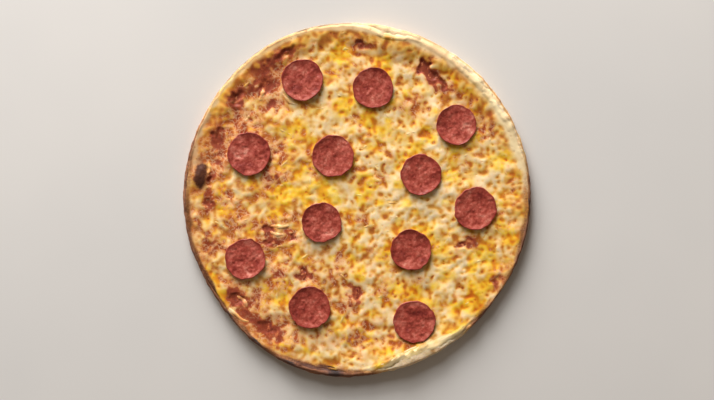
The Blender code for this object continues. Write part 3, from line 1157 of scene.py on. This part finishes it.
def pepperoni_material():
    """Cured meat: brick red, mottled maroon, with pinkish flecks of fat."""
    made, tree, shader = new_material("pepperoni_meat")
    fine = noise_node(tree, 0.0012, 3.0, 0.65)
    middle = noise_node(tree, 0.0032, 3.0, 0.6, 0.8)
    wide = noise_node(tree, 0.0085, 2.0)
    level = plus(plus(times(fine, 0.09), times(middle, 0.39)), times(wide, 0.52))
    colour = ramp(plus(level, value_node(tree, "tone")), (
        (0.33, 116, 34, 26),
        (0.43, 146, 54, 40),
        (0.51, 168, 72, 56),
        (0.60, 192, 100, 82),
        (0.72, 224, 156, 132),
    ))
    colour = blend(span(fine, 0.60, 0.72, 0.0, 0.34), colour, srgb(224, 152, 128))
    colour = blend(times(value_node(tree, "rim"), 0.60), colour, srgb(140, 44, 32))
    fill(shader, {
        "Base Color": colour,
        "Roughness": span(middle, 0.3, 0.7, 0.36, 0.56),
        "Specular IOR Level": 0.4,
        "Normal": bump_node(fine, 0.00014),
    })
    return made


def floor_material():
    """Plain, slightly uneven pale floor."""
    made, tree, shader = new_material("pale_floor")
    colour = ramp(noise_node(tree, 0.25, 3.0), (
        (0.3, 212, 208, 203),
        (0.7, 219, 214, 208),
    ))
    fill(shader, {"Base Color": colour, "Roughness": 0.6, "Specular IOR Level": 0.2})
    return made


# Pieces

CRUST_STEPS = 1000
CRUST_RINGS = 74
BASE_RADII = (0.140, 0.132, 0.116, 0.084, 0.040)
EDGE_LUMP = 0.0005
EDGE_LUMP_LENGTH = 0.012
GROOVE_WIDTH = 0.0008
WALL_TURN = 8.0
WALL_HEIGHTS = (0.0062, 0.0034)
LOW_HEIGHTS = (0.0056, 0.0010)
LOW_BAKE = 0.36
BASE_EDGE = (0.1450, 0.1360)
BASE_BAKE = 0.46
BAKE_MOST = 0.76
# Browning by angle, and painted light: the paler dough near 45°, 285° and 303° lightens rim
# slopes that face away from the light: middle, spread, amount
BAKE_AND_PAINTED_LIGHT_SWELLS = (
    (215, 34, 0.06),
    (152, 16, 0.16),
    (115, 30, 0.04),
    (356, 14, 0.04),
    (325, 18, 0.08),
    (45, 30, -0.14),
    (88, 10, -0.08),
    (285, 14, -0.14),
    (303, 9, -0.20),
)
MELT_SWELLS = (
    (125, 34, 0.9),
    (208, 34, 0.9),
    (250, 18, 0.8),
    (325, 18, 0.8),
    (350, 14, 0.5),
    (295, 3, 0.7),
)
# Where the rim that faces the light is painted darker, as painted shade: middle, spread, amount
LIT_RIM_SHADE_SWELLS = (
    (62, 16, 0.45),
    (103, 18, 0.95),
    (130, 24, 0.90),
)
# Charred spots on the rim: angle, spread, distance inside the outline, strength, width
CHAR_SPOTS = (
    (262.5, 2.2, 0.0040, 0.25, 0.0036),
    (296.5, 0.9, 0.0040, 0.8, 0.0016),
    (85.0, 0.6, 0.0040, 0.7, 0.0014),
    (359.0, 2.6, 0.0035, 0.25, 0.0034),
    (235.0, 2.4, 0.0035, 0.30, 0.0020),
    (222.0, 1.5, 0.0035, 0.25, 0.0020),
    (248.0, 2.0, 0.0030, 0.25, 0.0020),
    (149.0, 2.0, 0.0060, 0.3, 0.0020),
)


def crust_line(count):
    """Rounded profile of the crust from the floor's edge to the base, evenly spaced."""
    steps = np.hypot(*np.diff(CRUST_LINE, axis=0).T)
    run = np.concatenate(([0.0], np.cumsum(steps)))
    even = np.linspace(0.0, run[-1], count)
    return np.interp(even, run, CRUST_LINE[:, 0]), np.interp(even, run, CRUST_LINE[:, 1])


def crust_values(x, y, up, out, radius, angle, height, under, fold):
    """Per-point values that colour the crust."""
    across = np.clip((radius - TOPPING_RADIUS) / (PIZZA_RADIUS - TOPPING_RADIUS), 0.0, 1.0)
    inner = smooth_step(0.30, 0.0, across)
    to_edge = np.where(under, 0.0, outline_radius(angle) - out)
    wall = smooth_step(*WALL_HEIGHTS, height) * (under | (radius > CREST_RADIUS))
    ragged_angle = (angle + WALL_TURN * wall * bumps(x, y, up, 0.0090, 26)) % 360.0
    bake = 0.30 + swell(angle, BAKE_AND_PAINTED_LIGHT_SWELLS) + 0.08 * inner * ~under
    bake += 0.78 * browning(ragged_angle, ragged(x, y, to_edge))
    bake += 0.10 * np.where(under, 1.0, smooth_step(0.70, 1.0, across))
    bake += 0.10 * bumps(x, y, up, 0.010, 4)
    # Painted shade: the groove of the fold is painted darker along with the bake
    bake = np.minimum(bake + 0.34 * fold / FOLD_DEPTH, BAKE_MOST)
    low = smooth_step(*LOW_HEIGHTS, height + 0.0012 * bumps(x, y, up, 0.006, 28)) * under
    bake -= 0.60 * np.maximum(bake - LOW_BAKE, 0.0) * low
    base = smooth_step(*BASE_EDGE, radius) * under
    bake += (BASE_BAKE + 0.10 * bumps(x, y, 0.0, 0.03, 27) - bake) * base
    for middle, spread, depth, strength, width in CHAR_SPOTS:
        away = ((angle - middle + 180.0) % 360.0 - 180.0) / spread
        inward = (outline_radius(angle) - out - depth) / width
        bake += strength * np.exp(-(away ** 2 + inward ** 2)) * ~under
    # Painted shade on the rim that faces the light, away from the toppings' edge
    lit_rim_shade = capped(angle, LIT_RIM_SHADE_SWELLS) * smooth_step(0.10, 0.40, across)
    melt = swell(angle, MELT_SWELLS) * smooth_step(0.95, 0.55, across)
    melt += 0.45 * inner + 0.30 * bumps(x, y, up, 0.007, 18)
    melt -= 0.35 * capped(angle, BROAD_SWELLS)
    melt = np.clip(melt, 0.0, 1.0) * ~under
    return {"bake": bake.ravel(), "melt": melt.ravel(), "lit_rim_shade": lit_rim_shade.ravel()}


def add_crust():
    """Crust as rings of points, from the floor's edge over the rim to the flat base."""
    radius, height = crust_line(CRUST_RINGS)
    radius = np.concatenate((radius, BASE_RADII))
    height = np.concatenate((height, np.zeros(len(BASE_RADII))))
    angle = np.arange(CRUST_STEPS) * 360.0 / CRUST_STEPS
    radius, angle = np.meshgrid(radius, angle, indexing="ij")
    height = np.broadcast_to(height[:, None], radius.shape)
    under = np.arange(len(radius))[:, None] > np.argmax(radius[:, 0])
    below = radius * outline_radius(angle) / PIZZA_RADIUS
    out = np.where(under, below, crust_radius(radius, angle))
    up = lifted(height, angle) + crust_fill(radius, angle) * ~under
    x, y = spot(out, angle)
    up += crust_lumps(x, y, up, radius, angle) * ~under
    groove = np.exp(-((radius - FOLD_RADIUS) / GROOVE_WIDTH) ** 2) * ~under
    fold = groove * swell(angle, ((FOLD_ANGLE, FOLD_SPREAD, FOLD_DEPTH),))
    up -= fold
    outer = smooth_step(FOLD_RADIUS, PIZZA_RADIUS, radius) * ~under
    out += outer * EDGE_LUMP * unevenness(x, y, EDGE_LUMP_LENGTH, 7.0)
    lumps = 0.00028 * bumps(x, y, up, 0.0055, 2) + 0.00012 * bumps(x, y, up, 0.0022, 3)
    lumps += 0.00030 * puffiness(angle) * bumps(x, y, up, 0.0105, 5)
    out += smooth_step(0.0005, 0.0030, height) * lumps
    values = crust_values(x, y, up, out, radius, angle, height, under, fold)
    points = at(out, angle, up).reshape(-1, 3)
    faces = ring_faces(0, len(radius), CRUST_STEPS)
    faces.append(tuple(range(CRUST_STEPS)))
    faces.append(tuple(range(len(points) - 1, len(points) - 1 - CRUST_STEPS, -1)))
    mesh_object("crust_dough", points, faces, crust_material(), "crust", values)


SAUCE_SIDE = 190
SAUCE_INSET = 0.0004
SAUCE_SHOW = 0.0013
SAUCE_LEAST = 0.0001


def add_sauce():
    """Sauce as one sheet, higher where the cheese leaves it bare."""
    radius, angle, faces, loop = disc_grid(SAUCE_SIDE)
    reach = TOPPING_RADIUS - SAUCE_INSET
    nominal = radius * reach
    out = stretched(nominal, angle)
    height = crust_top(nominal, angle) + SAUCE_TOP
    x, y = spot(out, angle)
    bare = smooth_step(0.05, 0.70, patches(*warped(x, y), BARE_PATCHES, 1.4))
    level = SAUCE_LEAST + SAUCE_SHOW * bare * (1.0 + 0.35 * bumps(x, y, 0.0, 0.0035, 6))
    level += 0.00012 * bumps(x, y, 0.0, 0.0018, 7)
    height += level * smooth_step(1.0, 0.98, radius)
    points = at(out, angle, height)
    rings = [layer_ring(angle[loop], edge, GAP) for edge in (reach, SLOPE_RADIUS, FLOOR_RADIUS)]
    points, faces = close_below(points, faces, loop, rings)
    mesh_object("sauce_layer", points, faces, sauce_material(), "sauce")


CHEESE_SIDE = 292
LUMP_SHARE = 0.68
CALM_SHARE = 0.3
PIT_DEPTH = 0.00046
RIDGE_HEIGHT = 0.00026
CHEESE_REACH = TOPPING_RADIUS + 0.0032
CHEESE_RISE = 0.0007
CHEESE_RISE_LENGTH = 0.0220
CHEESE_FILM = 0.0002
CHEESE_SUNK = 0.0005
CHEESE_TAPER = 0.0022
CHEESE_MELD = 0.0009
CHEESE_LEAST = 0.0003
BED_SOFTNESS = 0.0007
HOLLOW_DEPTH = 0.0012
CHEESE_REACH_MOST = TOPPING_RADIUS + 0.0054
REACH_SWELLS = (
    (125, 34, 0.0020),
    (212, 34, 0.0006),
    (252, 12, 0.0006),
    (325, 16, 0.0012),
    (355, 12, 0.0008),
    (45, 34, 0.0004),
    (284, 12, 0.0002),
)
# Where the cheese is toasted, where less of the pale dough shows, and where the sun lies, where
# the film's outer edge is painted darker as painted shade
TOAST_ANGLE = 118.0
TOAST_SPREAD = 42.0
TOAST_SWELLS = (
    (52.0, 42.0, 1.0),
)
DOUGH_GAPS = (
    (292, 16, 0.35),
    (126, 26, 0.40),
)
SUNLIT_SWELLS = (
    (122, 34, 1.0),
    (62, 12, 0.5),
)
BURNT_PATCH = ((BLISTER[0], BLISTER[1], 3.0 * BLISTER[2], 0.0104, 84, 1.0),)
# Where the sauce shows beside the cheese's edge
EDGE_CUTS = (
    (218, 5, 0.0020),
    (333, 6, 0.0010),
    (350, 4, 0.0016),
    (262.5, 3, 0.0024),
    (80, 5, 0.0012),
)


def cheese_low(nominal):
    """Distance of the cheese's underside above the crust's top."""
    past = smooth_step(TOPPING_RADIUS - 0.0002, TOPPING_RADIUS + 0.0008, nominal)
    return CHEESE_BOTTOM - (CHEESE_BOTTOM + CHEESE_SUNK) * past


def plain_cheese_top(nominal, angle, ground):
    """Height of the cheese before its lumps: a level that meets a film on the rim."""
    start = TOPPING_RADIUS - CHEESE_RISE_LENGTH
    share = smooth_step(start, TOPPING_RADIUS - 0.0010, nominal)
    rise = (CHEESE_RISE + swell(angle, RISE_SWELLS)) * share
    level = FLOOR + CHEESE_TOP + rise
    film = ground + CHEESE_FILM
    more = np.maximum(level, film)
    return more + CHEESE_MELD * np.exp(-np.abs(level - film) / CHEESE_MELD) * 0.5


def coarse_cheese_top(x, y, plain_top, calm):
    """Top of the cheese with the model's lumps at a lower height, and its blister."""
    swelling = np.minimum(1.0, np.hypot(x, y) / CALM_RADIUS)
    lump = LUMP_SHARE * CHEESE_LUMP * (CALM_SHARE + (1.0 - CALM_SHARE) * swelling) * calm
    up = plain_top + lump * unevenness(x, y, CHEESE_LUMP_LENGTH, 0.0)
    up += 0.4 * lump * unevenness(x, y, 0.5 * CHEESE_LUMP_LENGTH, 5.0)
    blister_x, blister_y, blister_radius, blister_height = BLISTER
    away = np.hypot(x - blister_x, y - blister_y) / blister_radius
    return up + blister_height * np.exp(-away ** 2)


def cheese_surface(x, y, nominal, angle, relief_field):
    """Height of the cheese's top at points of the uncentred model."""
    ground = crust_ground(nominal, angle)
    calm = 0.25 + 0.75 * smooth_step(TOPPING_RADIUS + 0.0010, TOPPING_RADIUS - 0.0060, nominal)
    calm *= 1.0 - 0.88 * pale_share(angle, outline_radius(angle) - np.hypot(x, y))
    up = coarse_cheese_top(x, y, plain_cheese_top(nominal, angle, ground), calm)
    up += calm * (-PIT_DEPTH + (PIT_DEPTH + RIDGE_HEIGHT) * sample(relief_field, x, y))
    away = slice_distance(x, y)
    bed = BED_HEIGHT + BED_SOFTNESS * smooth_step(-0.004, 0.0006, away)
    free = smooth_step(-0.0010, 0.0026, away)
    up = np.minimum(up, bed) * (1.0 - free) + up * free
    bare = smooth_step(0.35, 1.0, patches(*warped(x, y), BARE_PATCHES, 1.2))
    hollow = ground + CHEESE_BOTTOM + HOLLOW_DEPTH
    return up + (np.minimum(up, hollow) - up) * bare


def toasting(x, y, angle, edge):
    """Toasting of the cheese near the rim, by distance inside the toppings' edge."""
    upper_left = np.exp(-((angle - TOAST_ANGLE) / TOAST_SPREAD) ** 2)
    upper_right = capped(angle, TOAST_SWELLS)
    band = 0.85 * smooth_step(0.017, 0.006, edge) - 0.30 * smooth_step(0.004, 0.0, edge)
    toast = smooth_step(0.013, 0.001, edge) * (0.18 + 0.60 * upper_left)
    toast += 0.50 * upper_left * smooth_step(0.022, 0.008, edge)
    toast += upper_right * band
    return toast + 0.45 * bumps(x, y, 0.0, 0.008, 10) * smooth_step(0.030, 0.004, edge)


def cheese_values(x, y, angle, relief_field, light_field):
    """Per-point values that colour the cheese."""
    relief = sample(relief_field, x, y)
    edge = topping_radius(angle) - np.hypot(x, y)
    to_edge = outline_radius(angle) - np.hypot(x, y)
    ragged_x, ragged_y = warped(x, y)
    bare = patches(ragged_x, ragged_y, BARE_PATCHES, 1.5)
    thin = patches(ragged_x, ragged_y, THIN_PATCHES, 1.3)
    gold = patches(ragged_x, ragged_y, YELLOW_PATCHES, 1.1)
    cream = patches(x, y, CREAM_PATCHES)
    left = smooth_step(0.04, -0.13, x)
    cluster = left * (bumps(x, y, 0.0, 0.0170, 24) + 0.6 * bumps(x, y, 0.0, 0.0085, 25))
    light = sample(light_field, x, y) + 0.12 * cream + 0.04 * gold
    light -= 0.06 * left + 0.16 * thin + 0.20 * bare
    light = 0.06 + 0.81 * light + LIGHT_STEP * patches(x, y, LIGHT_PATCHES)
    light += 0.28 * left * (0.34 - light)
    light += (0.50 - 0.5 * light) * smooth_step(0.0035, -0.0015, edge)
    light -= 0.10 * cluster
    stain = 0.12 + 1.10 * bare + 0.70 * thin + 0.26 * left + 0.42 * cluster
    stain += 0.20 * bumps(x, y, 0.0, 0.009, 9) + 0.26 * bumps(x, y, 0.0, 0.0036, 14)
    stain -= 0.4 * cream + 0.9 * gold * (1.0 - np.minimum(bare, 1.0))
    stain += (0.08 + 0.18 * left) * smooth_step(0.45, 0.15, relief)
    red = 0.95 * bare + 0.42 * thin + 0.10 * left + 0.34 * cluster
    red += 0.35 * bumps(x, y, 0.0, 0.0034, 22) * (bare + thin)
    red -= 0.7 * smooth_step(0.35, 0.65, relief)
    yolk = 0.27 + 1.2 * gold - 0.28 * cream - 0.30 * left
    yolk += 1.05 * bumps(x, y, 0.0, 0.0080, 15) + 0.95 * bumps(x, y, 0.0, 0.018, 16)
    dough = 0.95 * pale_share(angle, to_edge + 0.0018 * bumps(x, y, 0.0, 0.0055, 19))
    dough *= 1.0 - swell(angle, DOUGH_GAPS)
    dough = np.maximum(dough, 0.8 * patches(ragged_x, ragged_y, DOUGH_PATCHES))
    # The film's lightness by angle holds painted light and shade: lower where the rim faces the
    # light, higher where it slopes away
    tone = by_angle(angle, PALE_LIGHT_AND_SHADE_TONES) + 0.10 * bumps(x, y, 0.0, 0.006, 21)
    # Painted shade: the film's outermost edge is darker where the light strikes the rim
    sunlit = capped(angle, SUNLIT_SWELLS)
    tone -= 0.60 * sunlit * smooth_step(0.0032, 0.0017, to_edge)
    light += (tone - light) * dough
    char = 1.5 * patches(0.5 * (x + ragged_x), 0.5 * (y + ragged_y), BURNT_PATCH)
    values = {
        "light": light,
        "yolk": yolk,
        "stain": stain,
        "red": red,
        "dough": dough,
        "toast": toasting(x, y, angle, edge) - 0.6 * gold,
        "char": np.maximum(char, browning(angle, ragged(x, y, to_edge))),
    }
    return {key: np.clip(value, 0.0, 1.0) for key, value in values.items()}


def cheese_edge(angle):
    """Plain radius at which the cheese ends, cut back where sauce shows."""
    turn = np.radians(angle)
    wave = CHEESE_EDGE_WAVE * unevenness(np.cos(turn), np.sin(turn), 0.12, 9.0)
    wave = wave + 0.0006 * bumps(np.cos(turn), np.sin(turn), 0.0, 0.03, 11)
    reach = CHEESE_REACH + swell(angle, REACH_SWELLS) + np.minimum(wave, 0.0004)
    return np.minimum(reach, CHEESE_REACH_MOST) - swell(angle, EDGE_CUTS)


def add_cheese(relief_field, light_field):
    """Melted cheese as one sheet that thins out on the rim."""
    radius, angle, faces, loop = disc_grid(CHEESE_SIDE)
    edge = cheese_edge(angle)
    nominal = radius * edge
    out = crust_radius(nominal, angle)
    x, y = spot(out, angle)
    up = cheese_surface(x, y, nominal, angle, relief_field)
    low = crust_ground(nominal, angle) + cheese_low(nominal)
    inward = smooth_step(0.0, CHEESE_TAPER, edge - nominal)
    up = low + CHEESE_LEAST + np.maximum(up - low - CHEESE_LEAST, 0.0) * inward
    values = cheese_values(x, y, angle, relief_field, light_field)
    edge_angle = angle[loop]
    edge_radius = edge[loop]
    inner = np.minimum(edge_radius - 0.0006, TOPPING_RADIUS - 0.0003)
    rings = [
        layer_ring(edge_angle, edge_radius, cheese_low(edge_radius)),
        layer_ring(edge_angle, inner, CHEESE_BOTTOM),
        layer_ring(edge_angle, FLOOR_RADIUS, CHEESE_BOTTOM),
    ]
    points, faces = close_below(at(out, angle, up), faces, loop, rings)
    for key in values:
        tail = np.tile(values[key][loop], len(rings))
        values[key] = np.concatenate((values[key], tail))
    material = cheese_material("melted_cheese")
    mesh_object("cheese_layer", points, faces, material, "cheese", values)


# Strands seen one by one in the photo: x, y, turn, length, bend in degrees
SEEN_STRANDS = (
    (-0.0825, 0.0907, 80, 0.013, 30),
    (-0.0590, 0.0850, -35, 0.019, 50),
    (-0.0670, -0.0244, 2, 0.018, 15),
    (-0.1040, -0.1030, -35, 0.024, 60),
    (-0.0930, -0.0640, 20, 0.014, -30),
    (-0.1290, 0.0260, 85, 0.012, 20),
    (-0.0990, -0.0890, -50, 0.014, -40),
    (-0.0700, -0.0310, -10, 0.013, 20),
)
LOOSE_COUNT = 8
LOOSE_SEED = 31
LOOSE_LENGTHS = (0.007, 0.014)
LOOSE_WIDTH = 0.0034
BLISTER_SPACE = 0.014
SHRED_LIFT = 0.00085
SHRED_STEPS = 15
SHRED_SIDES = 12
SHRED_END = 0.22
SHRED_WIGGLE = 0.0004
SHRED_OVER_SAUCE = 0.0005
SHRED_GROUND_LENGTH = 0.0012
SHRED_SUNK = 0.00072
SEEN_SUNK = 0.00040


def clear_of_patches(x, y, space):
    """Whether a place is further than some space from every patch of bare sauce."""
    return all(
        math.hypot(x - patch[0], y - patch[1]) > 0.5 * patch[2] + space
        for patch in BARE_PATCHES
    )


def inside_edge(x, y, space):
    """Whether a place is on the flat of the toppings, with some space to its edge."""
    angle = math.degrees(math.atan2(y, x)) % 360
    return math.hypot(x, y) < float(stretched(SLOPE_RADIUS, np.array(angle))) - space


def shred_places():
    """The model's own shreds as (x, y, turn, length, bend)."""
    draw = random.Random(SHRED_SEED)
    places = []
    while len(places) < SHRED_COUNT:
        x, y = drawn_place(draw, PIZZA_RADIUS)
        turn = draw.uniform(0.0, math.pi)
        length = draw.uniform(*SHRED_LENGTHS)
        bend = math.radians(draw.uniform(-SHRED_BEND, SHRED_BEND))
        reach = 0.5 * length + SHRED_CLEARANCE + 0.5 * SHRED_WIDTH
        apart = all(math.hypot(x - other[0], y - other[1]) > SHRED_SPACING for other in places)
        open_place = slice_distance(x, y) > reach and clear_of_patches(x, y, 0.4 * reach)
        if apart and open_place and inside_edge(x, y, reach):
            places.append((x, y, turn, length, bend))
    return places


def loose_places():
    """Further pale strands, most of them where the cheese is thin."""
    draw = np.random.default_rng(LOOSE_SEED)
    places = []
    while len(places) < LOOSE_COUNT:
        x, y = drawn_place(draw, TOPPING_RADIUS)
        length = draw.uniform(*LOOSE_LENGTHS)
        turn = draw.uniform(0.0, math.pi)
        bend = math.radians(draw.uniform(-STRAND_BEND, STRAND_BEND))
        thin = float(patches(np.array(x), np.array(y), THIN_PATCHES + BARE_PATCHES, 1.5))
        chance = 0.12 + 0.9 * thin + 0.25 * (x < -0.03)
        fits = slice_distance(x, y) > 0.5 * length + 0.001 and inside_edge(x, y, 0.45 * length)
        clear = math.hypot(x - BLISTER[0], y - BLISTER[1]) > BLISTER_SPACE
        if draw.random() < chance and fits and clear:
            places.append((x, y, turn, length, bend))
    return places


def all_shreds():
    """Places of the model's own shreds, those seen in the photo and the loose ones."""
    seen = [
        (x, y, math.radians(turn), length, math.radians(bend))
        for x, y, turn, length, bend in SEEN_STRANDS
    ]
    return shred_places() + seen + loose_places()


def shred_rings(places):
    """Rings of points along each shred: x, y, height above its middle, and its tone."""
    draw = np.random.default_rng(LOOSE_SEED)
    ring = np.arange(SHRED_SIDES) * 2.0 * math.pi / SHRED_SIDES
    run = np.linspace(-1.0, 1.0, SHRED_STEPS)
    taper = np.sqrt(np.clip(1.0 - np.abs(run) ** 3.0, 0.0, 1.0))
    taper[0] = taper[-1] = SHRED_END
    shreds = []
    for index, (x, y, turn, length, bend) in enumerate(places):
        path_x, path_y = strand_path(x, y, turn, length, bend, SHRED_STEPS)
        wiggle = SHRED_WIGGLE * np.sin(run * draw.uniform(2.0, 5.0) + draw.uniform(0.0, 6.0))
        width = SHRED_WIDTH if index < SHRED_COUNT else LOOSE_WIDTH * draw.uniform(0.8, 1.15)
        swelling = taper * (1.0 + 0.14 * np.sin(run * draw.uniform(3.0, 8.0) + index))
        step_x = np.gradient(path_x)
        step_y = np.gradient(path_y)
        scale = np.hypot(step_x, step_y)
        side = np.outer(swelling, np.cos(ring)) * 0.5 * width + wiggle[:, None]
        shreds.append((
            path_x[:, None] - side * (step_y / scale)[:, None],
            path_y[:, None] + side * (step_x / scale)[:, None],
            np.outer(swelling, np.sin(ring)) * SHRED_LIFT,
            np.full(side.shape, draw.random()),
        ))
    return [np.array(values) for values in zip(*shreds)]


def shred_ground(x, y, relief_field):
    """Height of the cheese or bare sauce under the middle of each ring of the shreds."""
    x = x.mean(axis=2, keepdims=True)
    y = y.mean(axis=2, keepdims=True)
    angle = np.degrees(np.arctan2(y, x)) % 360.0
    nominal = np.hypot(x, y) * TOPPING_RADIUS / topping_radius(angle)
    field = blurred(relief_field, SHRED_GROUND_LENGTH)
    flat = [values.ravel() for values in (x, y, nominal, angle)]
    ground = cheese_surface(*flat, field).reshape(x.shape)
    ground = np.maximum(ground, crust_top(nominal, angle) + SAUCE_TOP + SHRED_OVER_SAUCE)
    return 0.5 * ground + 0.25 * np.roll(ground, 1, axis=1) + 0.25 * np.roll(ground, -1, axis=1)


def add_shreds(relief_field, light_field):
    """Shreds that keep their shape, sunk in the melted cheese."""
    places = all_shreds()
    seen = range(SHRED_COUNT, SHRED_COUNT + len(SEEN_STRANDS))
    sunk = [SEEN_SUNK if index in seen else SHRED_SUNK for index in range(len(places))]
    x, y, lift, tone = shred_rings(places)
    up = shred_ground(x, y, relief_field) + lift - np.array(sunk)[:, None, None]
    points = np.stack((x - MIDDLE_X, y - MIDDLE_Y, up), axis=-1)
    angle = np.degrees(np.arctan2(y, x)) % 360.0
    values = cheese_values(x.ravel(), y.ravel(), angle.ravel(), relief_field, light_field)
    # Painted light: each shred is a little lighter on its top and darker underneath
    light = 0.20 + 0.60 * values["light"] + 0.14 * tone.ravel() + 0.04 * lift.ravel() / SHRED_LIFT
    values["light"] = np.clip(light, 0.0, 1.0)
    for key, share in (("stain", 0.8), ("yolk", 0.6), ("red", 0.5), ("dough", 0.0)):
        values[key] = share * values[key]
    faces = []
    per_strand = SHRED_STEPS * SHRED_SIDES
    for start in range(0, per_strand * len(places), per_strand):
        last = start + per_strand - SHRED_SIDES
        faces += ring_faces(start, SHRED_STEPS, SHRED_SIDES, outward=False)
        faces.append(tuple(range(start + SHRED_SIDES - 1, start - 1, -1)))
        faces.append(tuple(range(last, last + SHRED_SIDES)))
    points = points.reshape(-1, 3)
    material = cheese_material("shredded_cheese")
    mesh_object("cheese_shreds", points, faces, material, "cheese", values)


SLICE_TONES = (0.0, 0.0, 0.0, 0.0, 0.01, -0.03, 0.0, -0.01, 0.0, -0.035, -0.05, 0.0)
SLICE_STEPS = 132
SLICE_RINGS = 42
SLICE_FLAT = 0.965
SLICE_WAVE = 0.00055
SLICE_NOTCH = 0.00042
SLICE_RELIEF = 0.00024
SLICE_FINE_RELIEF = 0.00012
SLICE_MOTTLE = 0.045
# Rounded edge and underside of a slice: share of its radius, share of its thickness
SLICE_EDGE = (
    (0.984, 0.95),
    (0.996, 0.80),
    (1.0, 0.55),
    (0.995, 0.28),
    (0.975, 0.06),
    (0.90, 0.0),
    (0.70, 0.0),
    (0.45, 0.0),
)


def add_slice(index, place, material):
    """One slice: cupped, uneven at its edge, with a rounded rim."""
    centre_x, centre_y, radius = place
    turn = np.arange(SLICE_STEPS) * 2.0 * math.pi / SLICE_STEPS
    cosine = np.cos(turn)
    sine = np.sin(turn)
    wave = unevenness(cosine, sine, 0.9, 30.0 + index)
    lean = unevenness(cosine, sine, 1.4, 50.0 + index)
    notch = bumps(cosine, sine, 0.0, 0.22, 20 + index)
    ruffle = bumps(cosine, sine, 0.0, 0.45, 40 + index)
    outer = radius + SLICE_WAVE * wave + SLICE_NOTCH * notch
    curl = PEPPERONI_CURL * (0.85 + 0.35 * lean + 0.22 * ruffle)

    def ring(share, height):
        spread = share * outer
        x = centre_x - MIDDLE_X + spread * cosine
        y = centre_y - MIDDLE_Y + spread * sine
        rise = curl * (0.45 * share ** 2 + 0.55 * share ** 5)
        return np.stack((x, y, SLICE_BOTTOM + PEPPERONI_THICKNESS * height + rise), axis=-1)

    shares = np.linspace(0.0, SLICE_FLAT, SLICE_RINGS)[1:]
    rings = [ring(share, 1.0) for share in shares]
    rings += [ring(share, height) for share, height in SLICE_EDGE]
    rims = [float(smooth_step(0.86, SLICE_FLAT, share)) for share in shares]
    rims += [1.0] * len(SLICE_EDGE)
    middle = (centre_x - MIDDLE_X, centre_y - MIDDLE_Y, SLICE_BOTTOM + PEPPERONI_THICKNESS)
    points = np.concatenate([np.array([middle])] + rings)
    on_top = np.arange(len(points)) < 1 + SLICE_STEPS * len(shares)
    x, y, _ = points.T
    relief = SLICE_RELIEF * bumps(x, y, 0.0, 0.0050, 80 + index)
    relief += SLICE_FINE_RELIEF * bumps(x, y, 0.0, 0.0020, 90 + index)
    points[:, 2] += relief * on_top
    faces = [(0, 1 + step, 1 + (step + 1) % SLICE_STEPS) for step in range(SLICE_STEPS)]
    faces += ring_faces(1, len(rings), SLICE_STEPS)
    last = len(points) - SLICE_STEPS
    faces.append(tuple(range(len(points) - 1, last - 1, -1)))
    rim = np.concatenate(([0.0], np.repeat(rims, SLICE_STEPS)))
    tone = SLICE_MOTTLE * bumps(x, y, 0.0, 0.011, 100 + index) + SLICE_TONES[index]
    number = "%02d" % (index + 1)
    values = {"rim": rim, "tone": tone}
    mesh_object("slice_" + number, points, faces, material, "pepperoni_" + number, values)


# Stage, light and camera

def add_floor():
    mesh = bpy.data.meshes.new("floor")
    half = 0.5 * STAGE_WIDTH
    corners = [(-half, -half, 0.0), (half, -half, 0.0), (half, half, 0.0), (-half, half, 0.0)]
    mesh.from_pydata(corners, [], [(0, 1, 2, 3)])
    mesh.materials.append(floor_material())
    floor = bpy.data.objects.new("floor", mesh)
    bpy.context.scene.collection.objects.link(floor)


def add_light(name, azimuth, elevation, distance, size, power):
    """Round soft light that points at the pizza's middle."""
    around = math.radians(azimuth)
    rise = math.radians(elevation)
    flat = distance * math.cos(rise)
    place = Vector((flat * math.cos(around), flat * math.sin(around), distance * math.sin(rise)))
    light = bpy.data.lights.new(name, "AREA")
    light.shape = "DISK"
    light.size = size
    light.energy = power
    light.color = SUN_COLOUR
    lamp = bpy.data.objects.new(name, light)
    lamp.location = place
    lamp.rotation_euler = (-place).to_track_quat("-Z", "Y").to_euler()
    bpy.context.scene.collection.objects.link(lamp)


def add_sky():
    """Weak light from all round."""
    world = bpy.data.worlds.new("studio")
    world.use_nodes = True
    sky = world.node_tree.nodes["Background"]
    sky.inputs["Color"].default_value = SKY_COLOUR
    sky.inputs["Strength"].default_value = SKY_STRENGTH
    bpy.context.scene.world = world


def add_camera():
    lens = bpy.data.cameras.new("camera")
    lens.lens = LENS
    lens.sensor_width = SENSOR
    camera = bpy.data.objects.new("camera", lens)
    camera.location = (0.0, 0.0, OUTLINE_HEIGHT + VIEW_WIDTH * LENS / SENSOR)
    bpy.context.scene.collection.objects.link(camera)
    bpy.context.scene.camera = camera


def main():
    """Build the stage and the pieces."""
    scene = bpy.context.scene
    scene.view_settings.view_transform = "Standard"
    scene.view_settings.look = "None"
    add_camera()
    for light in LIGHTS:
        add_light(*light)
    add_sky()
    add_floor()
    relief_field, light_field = cheese_fields()
    add_crust()
    add_sauce()
    add_cheese(relief_field, light_field)
    add_shreds(relief_field, light_field)
    meat = pepperoni_material()
    for index, place in enumerate(PEPPERONI):
        add_slice(index, place, meat)


main()
